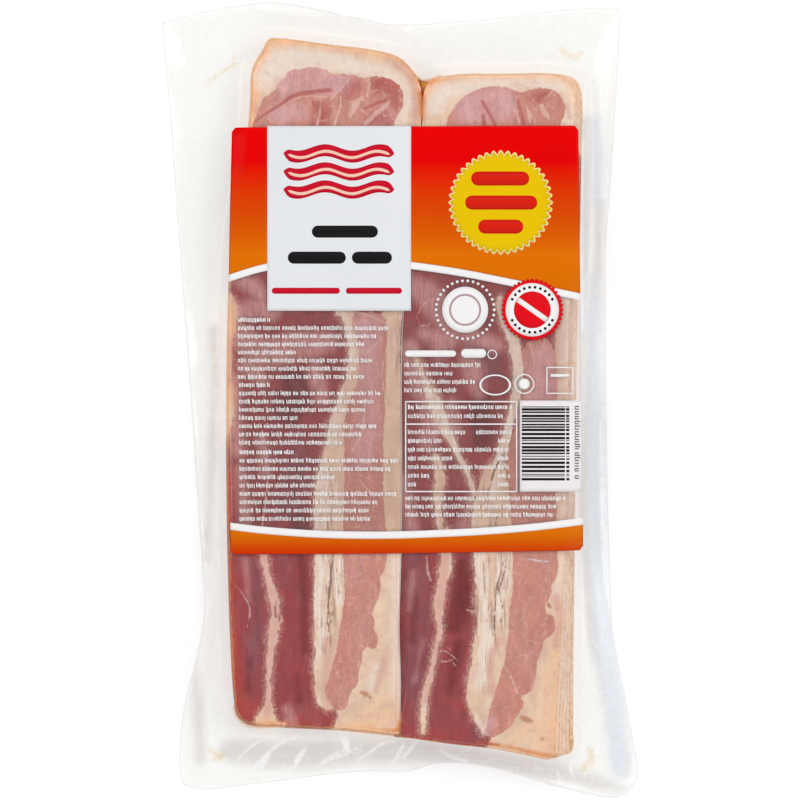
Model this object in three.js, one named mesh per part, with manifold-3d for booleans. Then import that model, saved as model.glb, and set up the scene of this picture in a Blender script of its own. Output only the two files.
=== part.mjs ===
// A vacuum pack of sliced bacon, lying on its back. Two stacks of rashers lie side by side in a
// clear pouch whose film clings to them and is welded flat all round, and a label is stuck over
// their middle. Millimetres, +Z up, +Y towards the top end of the pack, origin under its middle.
import * as THREE from "three";
import { mergeVertices } from "three/addons/utils/BufferGeometryUtils.js";
import Module from "manifold-3d";

const wasm = await Module();
wasm.setup();

// Driving sizes
const FILM = 0.3; // one web of film with its share of the seal
const RASHER = 2.1; // thickness of one rasher
const RASHERS = 6; // rashers in a stack
const EDGE_ROUND = 0.6; // how far a rasher's edge is rounded under the film
const FLANGE = 0.5; // the two webs welded together round the edge
const WEB_TOP = 5.5; // height at which the film leaves the stacks' sides
const WEB_FOOT = 5.0; // how far out it meets the flange
const STACK_WIDTH = 70;
const STACK_LENGTH = 280;
const SEAM_GROOVE = 1.3; // depth of the groove between the stacks
const SEAM_WIDTH = 6; // reach of the film that bridges it, under both stacks
const LABEL = 0.3; // thickness of the label
const LABEL_GAP = 0.3; // clearance between the label and the pouch
const LABEL_CORNER = 1.8;
const LABEL_REACH = 1.6; // how far from a step the stiff label still lies at its height
const LABEL_FALL = 0.55; // slope at which it comes down beyond that
const LABEL_SPAN = 14; // reach over which it bridges

const STACK_TOP = FILM + RASHERS * RASHER + FILM;

// The pouch's edge, side by side: shrunk in at the waist and flared at the lower corners.
const POUCH_EDGE = {
  top: [[-97.4, 155], [-81.6, 159.1], [-65.2, 162], [-48.8, 163.2], [-16, 157], [0.4, 154.2],
    [33.2, 156.2], [57.8, 159.1], [74.2, 160.7], [90.2, 160.7]],
  right: [[90.2, 160.7], [90.8, 153.8], [89, 123], [86.5, 82], [84.9, 57.4], [85.3, -10],
    [87.1, -82], [89, -102.5], [93.1, -123], [97.6, -148], [97.6, -156]],
  bottom: [[97.6, -156], [93, -161.2], [86.5, -163.2], [66, -159.1], [37.3, -150.9], [16.8, -149.2],
    [2.9, -152.5], [-20.1, -152.9], [-61.1, -157.9], [-79.5, -159.9], [-89, -157.9]],
  left: [[-89, -157.9], [-90.2, -143.5], [-87.7, -123], [-80.4, -90], [-82, -53.3], [-86.1, 8.2],
    [-92.3, 92.3], [-94.9, 128], [-97.4, 155]],
};

// The line where the two stacks meet, from the top end down.
const SEAM = [[9.6, 124], [9.2, 112], [7, 82], [3.7, 57.4], [1.6, 32.8], [1, 6.6], [1.2, -27.9],
  [0.8, -65.6], [0.1, -92.7], [0.7, -116.4], [0.4, -134]];

// The top rasher of each stack, and how far each rasher below it has slid, in mm a rasher.
const LEFT_STACK = {
  head: [[7.8, 131.2], [4.5, 136.1], [0, 140], [-9.4, 142.7], [-28.3, 145.1], [-48, 147.6],
    [-52.5, 147.4], [-55.5, 142.5], [-59.5, 134.9]],
  side: [[-60.3, 122], [-61.8, 104], [-65.2, 82], [-68.7, 53.3], [-69.9, 20], [-70.1, -16.4],
    [-69.5, -65.6], [-68.4, -98.4], [-67, -121]],
  foot: [[-65.6, -128.6], [-61.1, -132], [-48, -133.3], [-27.1, -134.3], [-4, -136.6]],
  seamSide: -0.4,
  leftSide: -70,
  seed: 1,
  slide: { left: -0.2, rightTop: -0.1, rightFoot: -0.1, top: 0.35, foot: -0.3 },
};
const RIGHT_STACK = {
  head: [[12.4, 130.4], [19.7, 132.6], [41.4, 133.1], [61.9, 133], [68.6, 131], [71.3, 126]],
  side: [[71.9, 118], [71.5, 102.5], [70.9, 69.7], [69.7, 28.7], [68.9, -20.5], [67.7, -65.6],
    [66, -102.5], [64, -135.3]],
  foot: [[62.6, -145.8], [52.7, -144.7], [39.6, -141.9], [22, -139.9], [4.5, -137.4]],
  seamSide: 0.4,
  leftSide: 0,
  seed: 9,
  slide: { left: 0.35, rightTop: 0.82, rightFoot: 1.72, top: 0.4, foot: 0.3 },
};
const SLIDE_JITTER = 0.22; // unevenness of the slide from rasher to rasher

// The label's corners and bends, clockwise from its upper left corner, and which are rounded.
const LABEL_EDGE = [
  { x: -68.5, y: 111.5, round: true },
  { x: 73.4, y: 112.2, round: true },
  { x: 74.2, y: 45 },
  { x: 75.3, y: -25 },
  { x: 75.4, y: -61.6, round: true },
  { x: 0, y: -62.9 },
  { x: -68.9, y: -63.1, round: true },
  { x: -69.7, y: 50 },
];

const CLEAR_FILM = 0xe9ece9;
const LABEL_RED = 0xd8400c;

const clamp01 = (t) => Math.min(1, Math.max(0, t));
const mix = (a, b, t) => a + (b - a) * t;

// Points evenly spaced on a smooth open line through the given points.
function smoothLine(points, count) {
  const line = new THREE.SplineCurve(points.map(([x, y]) => new THREE.Vector2(x, y)));
  return line.getSpacedPoints(count);
}

// A closed mesh as a manifold-3d solid.
function toSolid(geometry) {
  const bare = geometry.clone();
  for (const name of ["normal", "uv"]) bare.deleteAttribute(name);
  const merged = mergeVertices(bare, 1e-4);
  return new wasm.Manifold(new wasm.Mesh({
    numProp: 3,
    vertProperties: new Float32Array(merged.attributes.position.array),
    triVerts: new Uint32Array(merged.index.array),
  }));
}

function toGeometry(solid) {
  const mesh = solid.getMesh();
  const geometry = new THREE.BufferGeometry();
  geometry.setAttribute("position", new THREE.BufferAttribute(new Float32Array(mesh.vertProperties), 3));
  geometry.setIndex(new THREE.BufferAttribute(new Uint32Array(mesh.triVerts), 1));
  geometry.computeVertexNormals();
  return geometry;
}

// A number from -1 to 1 that looks random and is the same each time for the same seed.
function wobble(seed) {
  const s = Math.sin(seed * 127.1 + 11.7) * 43758.5453;
  return 2 * (s - Math.floor(s)) - 1;
}

// Where a point of the top rasher's outline lies on the rasher that is depth below it.
function slid(point, stack, depth, seed) {
  const { slide } = stack;
  const across = clamp01((point.x - stack.leftSide) / STACK_WIDTH);
  const along = clamp01((point.y + STACK_LENGTH / 2) / STACK_LENGTH);
  const right = mix(slide.rightFoot, slide.rightTop, along);
  const shift = depth ? SLIDE_JITTER : 0;
  return new THREE.Vector2(
    point.x + depth * mix(slide.left, right, across) + shift * wobble(seed) * across,
    point.y + depth * mix(slide.foot, slide.top, along) + shift * wobble(seed + 5),
  );
}

// The outline of the rasher depth below the top of a stack, anticlockwise. Its points are closest
// together where the corners are given most closely.
function rasherOutline(stack, depth) {
  const seam = SEAM.map(([x, y]) => [x + stack.seamSide, y]).reverse();
  const loop = [...stack.head, ...stack.side, ...stack.foot, ...seam];
  const corners = loop.map(([x, y]) => new THREE.Vector3(x, y, 0));
  const curve = new THREE.CatmullRomCurve3(corners, true, "centripetal");
  const points = curve.getPoints(2 * loop.length).slice(0, -1);
  const moved = points.map((p) => slid(p, stack, depth, depth + stack.seed));
  return THREE.ShapeUtils.isClockWise(moved) ? moved.reverse() : moved;
}

// One rasher: its outline extruded, with both rims rounded. The top one carries the film.
function rasher(stack, depth) {
  const low = FILM + (RASHERS - 1 - depth) * RASHER;
  const high = low + RASHER + (depth === 0 ? FILM : 0.05);
  const rim = EDGE_ROUND;
  const geometry = new THREE.ExtrudeGeometry(new THREE.Shape(rasherOutline(stack, depth)), {
    depth: high - low - 2 * rim,
    bevelThickness: rim,
    bevelSize: rim,
    bevelOffset: -rim,
    bevelSegments: 1,
  });
  geometry.translate(0, 0, low + rim);
  return toSolid(geometry);
}

// Loops of matched points that run round the pack: the edge of the lowest rashers, and the pouch.
const SIDE_STEPS = { top: 22, right: 26, bottom: 22, left: 26 };

function loopOf(sides) {
  return Object.entries(SIDE_STEPS).flatMap(([name, steps]) => smoothLine(sides[name], steps).slice(0, -1));
}

function contentsLoop() {
  const low = RASHERS - 1;
  const move = (list, stack) => list.map(([x, y]) => {
    const p = slid(new THREE.Vector2(x, y), stack, low, low);
    return [p.x, p.y];
  });
  const leftHead = move(LEFT_STACK.head, LEFT_STACK).reverse();
  const rightHead = move(RIGHT_STACK.head, RIGHT_STACK);
  return loopOf({
    top: [...leftHead, ...rightHead],
    right: [rightHead.at(-1), ...move(RIGHT_STACK.side, RIGHT_STACK), move(RIGHT_STACK.foot, RIGHT_STACK)[0]],
    bottom: [...move(RIGHT_STACK.foot, RIGHT_STACK), ...move(LEFT_STACK.foot, LEFT_STACK).reverse()],
    left: [move(LEFT_STACK.foot, LEFT_STACK)[0], ...move(LEFT_STACK.side, LEFT_STACK).reverse(), leftHead[0]],
  });
}

// Each point of a clockwise loop moved outwards, square to the loop there.
function offsetLoop(loop, distance) {
  return loop.map((p, i) => {
    const before = loop[(i + loop.length - 2) % loop.length];
    const after = loop[(i + 2) % loop.length];
    const out = new THREE.Vector2(-(after.y - before.y), after.x - before.x).normalize();
    return new THREE.Vector2(p.x + out.x * distance, p.y + out.y * distance);
  });
}

// How high the flange's underside stands off the table, from its foot (0) to its edge (1).
function flangeLift(x, y, outwards) {
  const corner = Math.max(0, (Math.abs(x) / 97) * (Math.abs(y) / 163) - 0.45);
  const wave = 0.9 * Math.sin(0.055 * y + 0.6) + 0.7 * Math.sin(0.09 * x - 0.4) + 0.4 * Math.sin(0.17 * (x + y));
  return outwards * (2.6 + wave) * (0.35 + 0.65 * outwards) + 5.5 * corner * outwards * outwards;
}

// The film sheet: flat under the stacks, climbing their sides, and waving out to the welded edge.
function filmSheet() {
  const stacks = contentsLoop();
  const edge = loopOf(POUCH_EDGE);
  const foot = offsetLoop(stacks, WEB_FOOT);
  const rings = [
    { loop: offsetLoop(stacks, -2), z: () => WEB_TOP },
    { loop: offsetLoop(stacks, 0.4), z: () => WEB_TOP - 0.6 },
    { loop: offsetLoop(stacks, 2), z: () => 2.2 },
  ];
  for (const outwards of [0, 0.2, 0.4, 0.6, 0.8, 1]) {
    rings.push({
      loop: foot.map((p, i) => new THREE.Vector2(mix(p.x, edge[i].x, outwards), mix(p.y, edge[i].y, outwards))),
      z: (p) => FLANGE + flangeLift(p.x, p.y, outwards),
      under: (p) => flangeLift(p.x, p.y, outwards),
    });
  }
  const position = [];
  const index = [];
  const count = edge.length;
  const starts = [];
  const addRing = (loop, z) => {
    starts.push(position.length / 3);
    for (const p of loop) position.push(p.x, p.y, z(p));
  };
  for (const ring of rings) addRing(ring.loop, ring.z);
  for (const ring of rings.filter((r) => r.under).reverse()) addRing(ring.loop, ring.under);
  for (let r = 0; r + 1 < starts.length; r++) {
    for (let i = 0; i < count; i++) {
      const j = (i + 1) % count;
      const [a, b, c, d] = [starts[r] + i, starts[r] + j, starts[r + 1] + j, starts[r + 1] + i];
      index.push(a, b, c, a, c, d);
    }
  }
  // The middle, closed over the top inside the stacks and flat below them.
  for (const [a, b, c] of THREE.ShapeUtils.triangulateShape(rings[0].loop, [])) index.push(a, b, c);
  const base = starts.at(-1);
  for (const [a, b, c] of THREE.ShapeUtils.triangulateShape(foot, [])) {
    index.push(base + a, base + c, base + b);
  }
  const geometry = new THREE.BufferGeometry();
  geometry.setAttribute("position", new THREE.Float32BufferAttribute(position, 3));
  geometry.setIndex(index);
  return toSolid(geometry);
}

// The film that bridges the gap between the stacks, just below their tops.
function seamBridge() {
  const line = smoothLine(SEAM, 24);
  const half = SEAM_WIDTH / 2;
  const outline = [
    ...line.map((p) => new THREE.Vector2(p.x - half, p.y)),
    ...line.map((p) => new THREE.Vector2(p.x + half, p.y)).reverse(),
  ];
  const geometry = new THREE.ExtrudeGeometry(new THREE.Shape(outline), {
    depth: STACK_TOP - SEAM_GROOVE - FLANGE,
    bevelEnabled: false,
  });
  geometry.translate(0, 0, FLANGE);
  return toSolid(geometry);
}

function pouch() {
  const rashers = [LEFT_STACK, RIGHT_STACK].flatMap((stack) =>
    Array.from({ length: RASHERS }, (_, depth) => rasher(stack, depth)));
  return [filmSheet(), seamBridge(), ...rashers].reduce((a, b) => a.add(b));
}

// The label's outline with its four corners rounded.
function labelOutline() {
  const at = ({ x, y }) => new THREE.Vector2(x, y);
  const towards = (from, to) => from.clone().add(to.clone().sub(from).setLength(LABEL_CORNER));
  const shape = new THREE.Shape();
  LABEL_EDGE.forEach((spot, i) => {
    const here = at(spot);
    const before = at(LABEL_EDGE.at(i - 1));
    const after = at(LABEL_EDGE[(i + 1) % LABEL_EDGE.length]);
    const enter = spot.round ? towards(here, before) : here;
    if (i === 0) shape.moveTo(enter.x, enter.y);
    else shape.lineTo(enter.x, enter.y);
    if (spot.round) {
      const leave = towards(here, after);
      shape.quadraticCurveTo(here.x, here.y, leave.x, leave.y);
    }
  });
  shape.closePath();
  return shape;
}

// The stations across the label: close together over its two edges and over the seam.
function labelColumns(y) {
  const seam = seamAt(y);
  const near = [-3.5, -2, -0.7, 0.7, 2, 3.5].map((step) => seam + step);
  const left = [-72, -70.5, -69, -67.5, -66, -64.5, -63, -61.5, -60, -58, -50, -38, -26, -14];
  const right = [22, 34, 46, 56, 62, 64, 65.5, 67, 68.5, 70, 71.5, 73, 74.5, 76, 77.5];
  return [...left, ...near, ...right];
}

// The x of the seam at a height y on the pack.
function seamAt(y) {
  const below = SEAM.findIndex((p) => p[1] <= y);
  const [x1, y1] = SEAM[below];
  const [x0, y0] = SEAM[below - 1];
  return mix(x0, x1, (y - y0) / (y1 - y0));
}

// The height of a mesh's top over a grid of square cells, CELL wide, under the label and round it.
const CELL = 0.5;
const MAP = { left: -76, bottom: -70, wide: 320, deep: 380 };

function topMap(geometry) {
  const map = new Float32Array(MAP.wide * MAP.deep);
  const flat = geometry.toNonIndexed().attributes.position;
  const corners = [0, 1, 2].map(() => new THREE.Vector3());
  const spot = new THREE.Vector3();
  const shares = new THREE.Vector3();
  const flatten = (v) => new THREE.Vector3(v.x, v.y, 0);
  const column = (x) => (x - MAP.left) / CELL;
  const row = (y) => (y - MAP.bottom) / CELL;
  for (let t = 0; t < flat.count; t += 3) {
    corners.forEach((corner, k) => corner.fromBufferAttribute(flat, t + k));
    const [a, b, c] = corners.map(flatten);
    const xs = corners.map((corner) => column(corner.x));
    const ys = corners.map((corner) => row(corner.y));
    const lastRow = Math.min(MAP.deep - 1, Math.floor(Math.max(...ys)));
    const lastColumn = Math.min(MAP.wide - 1, Math.floor(Math.max(...xs)));
    for (let r = Math.max(0, Math.ceil(Math.min(...ys))); r <= lastRow; r++) {
      for (let q = Math.max(0, Math.ceil(Math.min(...xs))); q <= lastColumn; q++) {
        spot.set(MAP.left + q * CELL, MAP.bottom + r * CELL, 0);
        if (!THREE.Triangle.getBarycoord(spot, a, b, c, shares)) continue;
        if (Math.min(shares.x, shares.y, shares.z) < 0) continue;
        const z = corners[0].z * shares.x + corners[1].z * shares.y + corners[2].z * shares.z;
        map[r * MAP.wide + q] = Math.max(map[r * MAP.wide + q], z);
      }
    }
  }
  return map;
}

// The height at which a stiff skin rests at a point of the map: it comes down beside a step no
// faster than its slope allows.
function restingHeight(map, x, y, reachY) {
  const [q, r] = [Math.round((x - MAP.left) / CELL), Math.round((y - MAP.bottom) / CELL)];
  const [spanX, spanY] = [Math.ceil(LABEL_SPAN / CELL), Math.ceil(reachY / CELL)];
  let high = 0;
  for (let j = Math.max(0, r - spanY); j <= Math.min(MAP.deep - 1, r + spanY); j++) {
    for (let i = Math.max(0, q - spanX); i <= Math.min(MAP.wide - 1, q + spanX); i++) {
      const beyond = Math.max(0, Math.abs(i - q) * CELL - LABEL_REACH);
      high = Math.max(high, map[j * MAP.wide + i] - LABEL_FALL * beyond);
    }
  }
  return high;
}

// The label: one thin skin that follows the top of the pouch at a small distance.
function label(pouchGeometry) {
  const map = topMap(pouchGeometry);
  const rowStep = 6;
  const rows = Array.from({ length: 31 }, (_, i) => -65 + i * rowStep);
  const position = [];
  for (const lift of [LABEL_GAP, LABEL_GAP + LABEL]) {
    for (const y of rows) {
      for (const x of labelColumns(y)) {
        position.push(x, y, restingHeight(map, x, y, rowStep / 2) + lift);
      }
    }
  }
  const wide = labelColumns(0).length;
  const layer = rows.length * wide;
  const index = [];
  const quad = (a, b, c, d) => index.push(a, b, c, a, c, d);
  for (let r = 0; r + 1 < rows.length; r++) {
    for (let c = 0; c + 1 < wide; c++) {
      const a = r * wide + c;
      quad(a, a + wide, a + wide + 1, a + 1);
      quad(layer + a, layer + a + 1, layer + a + wide + 1, layer + a + wide);
    }
  }
  const rim = [
    ...Array.from({ length: wide - 1 }, (_, c) => c),
    ...Array.from({ length: rows.length - 1 }, (_, r) => r * wide + wide - 1),
    ...Array.from({ length: wide - 1 }, (_, c) => layer - 1 - c),
    ...Array.from({ length: rows.length - 1 }, (_, r) => (rows.length - 1 - r) * wide),
  ];
  rim.forEach((a, i) => {
    const b = rim[(i + 1) % rim.length];
    quad(a, b, layer + b, layer + a);
  });
  const skin = new THREE.BufferGeometry();
  skin.setAttribute("position", new THREE.Float32BufferAttribute(position, 3));
  skin.setIndex(index);
  const cutter = new THREE.ExtrudeGeometry(labelOutline(), { depth: 2 * STACK_TOP, bevelEnabled: false });
  return toSolid(skin).intersect(toSolid(cutter));
}

function named(name, geometry, color, roughness) {
  const mesh = new THREE.Mesh(geometry, new THREE.MeshStandardMaterial({ color, roughness, metalness: 0 }));
  mesh.name = name;
  return mesh;
}

const pouchMesh = named("pouch", toGeometry(pouch()), CLEAR_FILM, 0.25);
const labelMesh = named("label", toGeometry(label(pouchMesh.geometry)), LABEL_RED, 0.3);

// The pack stands over the origin by the box round its pouch.
const middle = new THREE.Box3().setFromObject(pouchMesh).getCenter(new THREE.Vector3());
const group = new THREE.Group();
for (const mesh of [pouchMesh, labelMesh]) {
  mesh.geometry.translate(-middle.x, -middle.y, 0);
  group.add(mesh);
}

export default group;
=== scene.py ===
"""Bacon pack: two stacks of rashers in a clear vacuum pouch with a printed film label.

The file is laid out as an add-on and run as a script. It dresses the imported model, which it loads
as a fixed frame: the rashers, the film, the label with its print, and a plain studio.
"""
import math

import bpy
import numpy as np
from bpy.props import FloatProperty, FloatVectorProperty, IntProperty, PointerProperty
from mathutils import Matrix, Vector, noise
from mathutils.bvhtree import BVHTree


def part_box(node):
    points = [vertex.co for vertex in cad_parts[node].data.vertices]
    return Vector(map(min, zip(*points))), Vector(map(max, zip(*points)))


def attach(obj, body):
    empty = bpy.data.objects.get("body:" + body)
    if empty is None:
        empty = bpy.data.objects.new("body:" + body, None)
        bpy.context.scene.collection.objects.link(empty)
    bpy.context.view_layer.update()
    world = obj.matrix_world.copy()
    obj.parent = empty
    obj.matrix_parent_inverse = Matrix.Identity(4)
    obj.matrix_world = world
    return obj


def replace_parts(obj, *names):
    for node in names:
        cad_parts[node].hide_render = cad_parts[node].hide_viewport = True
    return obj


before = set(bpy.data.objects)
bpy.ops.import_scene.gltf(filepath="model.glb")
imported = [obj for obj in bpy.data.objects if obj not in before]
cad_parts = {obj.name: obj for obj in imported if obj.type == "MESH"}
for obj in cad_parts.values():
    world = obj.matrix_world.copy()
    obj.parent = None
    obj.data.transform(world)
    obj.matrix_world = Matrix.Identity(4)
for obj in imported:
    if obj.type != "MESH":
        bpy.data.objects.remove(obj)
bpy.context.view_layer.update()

bl_info = {
    "name": "Bacon pack",
    "version": (1, 0, 0),
    "blender": (4, 5, 0),
    "location": "View3D > Sidebar > Bacon pack",
    "description": "Builds a vacuum pack of bacon rashers with a printed label",
    "category": "Object",
}

MM = 0.001

# The photograph's scale, mm a pixel, and the pixel over the pack's origin
PHOTO_MM = 0.41
PHOTO_MIDDLE = (399.24, 400.0)
PHOTO_WIDTH = 800

POUCH_LOW, POUCH_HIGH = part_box("pouch")
STACK_TOP = POUCH_HIGH.z / MM

# Heights and reaches of the film, mm, as the solids have them
FILM = 0.3
FLANGE_FOOT = 0.5
WEB_TOP = 5.0
WEB_FOOT = 5.0
CAD_SHIFT = -0.1  # from the outlines' own middle to the middle of the pouch's box

# The pouch's edge, mm, side by side, clockwise from the upper left corner
POUCH_EDGE = {
    "top": [(-97.4, 155), (-81.6, 159.1), (-65.2, 162), (-48.8, 163.2), (-16, 157), (0.4, 154.2),
            (33.2, 156.2), (57.8, 159.1), (74.2, 160.7), (90.2, 160.7)],
    "right": [(90.2, 160.7), (90.8, 153.8), (89, 123), (86.5, 82), (84.9, 57.4), (85.3, -10),
              (87.1, -82), (89, -102.5), (93.1, -123), (97.6, -148), (97.6, -156)],
    "bottom": [(97.6, -156), (93, -161.2), (86.5, -163.2), (66, -159.1), (37.3, -150.9), (16.8, -149.2),
               (2.9, -152.5), (-20.1, -152.9), (-61.1, -157.9), (-79.5, -159.9), (-89, -157.9)],
    "left": [(-89, -157.9), (-90.2, -143.5), (-87.7, -123), (-80.4, -90), (-82, -53.3), (-86.1, 8.2),
             (-92.3, 92.3), (-94.9, 128), (-97.4, 155)],
}

# The line where the two stacks meet, mm, from the top end down
SEAM = [(9.6, 124), (9.2, 112), (7, 82), (3.7, 57.4), (1.6, 32.8), (1, 6.6), (1.2, -27.9),
        (0.8, -65.6), (0.1, -92.7), (0.7, -116.4), (0.4, -134)]

# The top rasher of each stack, mm, and how far each rasher below it has slid. The corners are the
# outline points, by number, at which its upper left, upper right, lower right and lower left lie.
LEFT_STACK = {
    "name": "left",
    "head": [(7.8, 131.2), (4.5, 136.1), (0, 140), (-9.4, 142.7), (-28.3, 145.1), (-48, 147.6),
             (-52.5, 147.4), (-55.5, 142.5), (-59.5, 134.9)],
    "side": [(-60.3, 122), (-61.8, 104), (-65.2, 82), (-68.7, 53.3), (-69.9, 20), (-70.1, -16.4),
             (-69.5, -65.6), (-68.4, -98.4), (-67, -121)],
    "foot": [(-65.6, -128.6), (-61.1, -132), (-48, -133.3), (-27.1, -134.3), (-4, -136.4), (0, -136.8)],
    "corners": (6, 1, 23, 18),
    "seam_side": -0.15,
    "left_side": -70,
    "seed": 1,
    # The lower rashers' rims: cream that is partly painted light on their steep sides, and a line that is
    # partly painted shade of each step
    "ledge_cream_and_light": 0.45,
    "ledge_line_and_shade": 0.55,
    "slide": {"left": -0.2, "right_top": -0.1, "right_foot": -0.1, "top": 0.2, "foot": -0.3},
}
RIGHT_STACK = {
    "name": "right",
    "head": [(12.4, 130.4), (19.7, 132.6), (41.4, 133.1), (61.9, 133), (68.6, 131), (71.3, 126)],
    "side": [(71.9, 118), (71.5, 102.5), (70.9, 69.7), (69.7, 28.7), (68.9, -20.5), (67.7, -65.6),
             (66, -102.5), (64, -135.3)],
    "foot": [(62.6, -146.6), (52.7, -145.5), (39.6, -142.9), (22, -140.9), (4.5, -138.4), (0.9, -137.8)],
    "corners": (0, 4, 14, 19),
    "seam_side": 0.15,
    "left_side": 0,
    "seed": 9,
    # The lower rashers' rims: cream that is partly painted light on their steep sides, and a line that is
    # partly painted shade of each step
    "ledge_cream_and_light": 0.75,
    "ledge_line_and_shade": 1.4,
    "slide": {"left": 0.35, "right_top": 0.66, "right_foot": 1.64, "top": 0.2, "foot": 0.3},
}
STACK_WIDTH = 70
STACK_LENGTH = 280
SLIDE_JITTER = 0.22
FAN = 5  # how sharply the rashers' right sides spread towards the foot
LOOP_STEPS = 6  # points on each stretch of a rasher's outline

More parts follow.
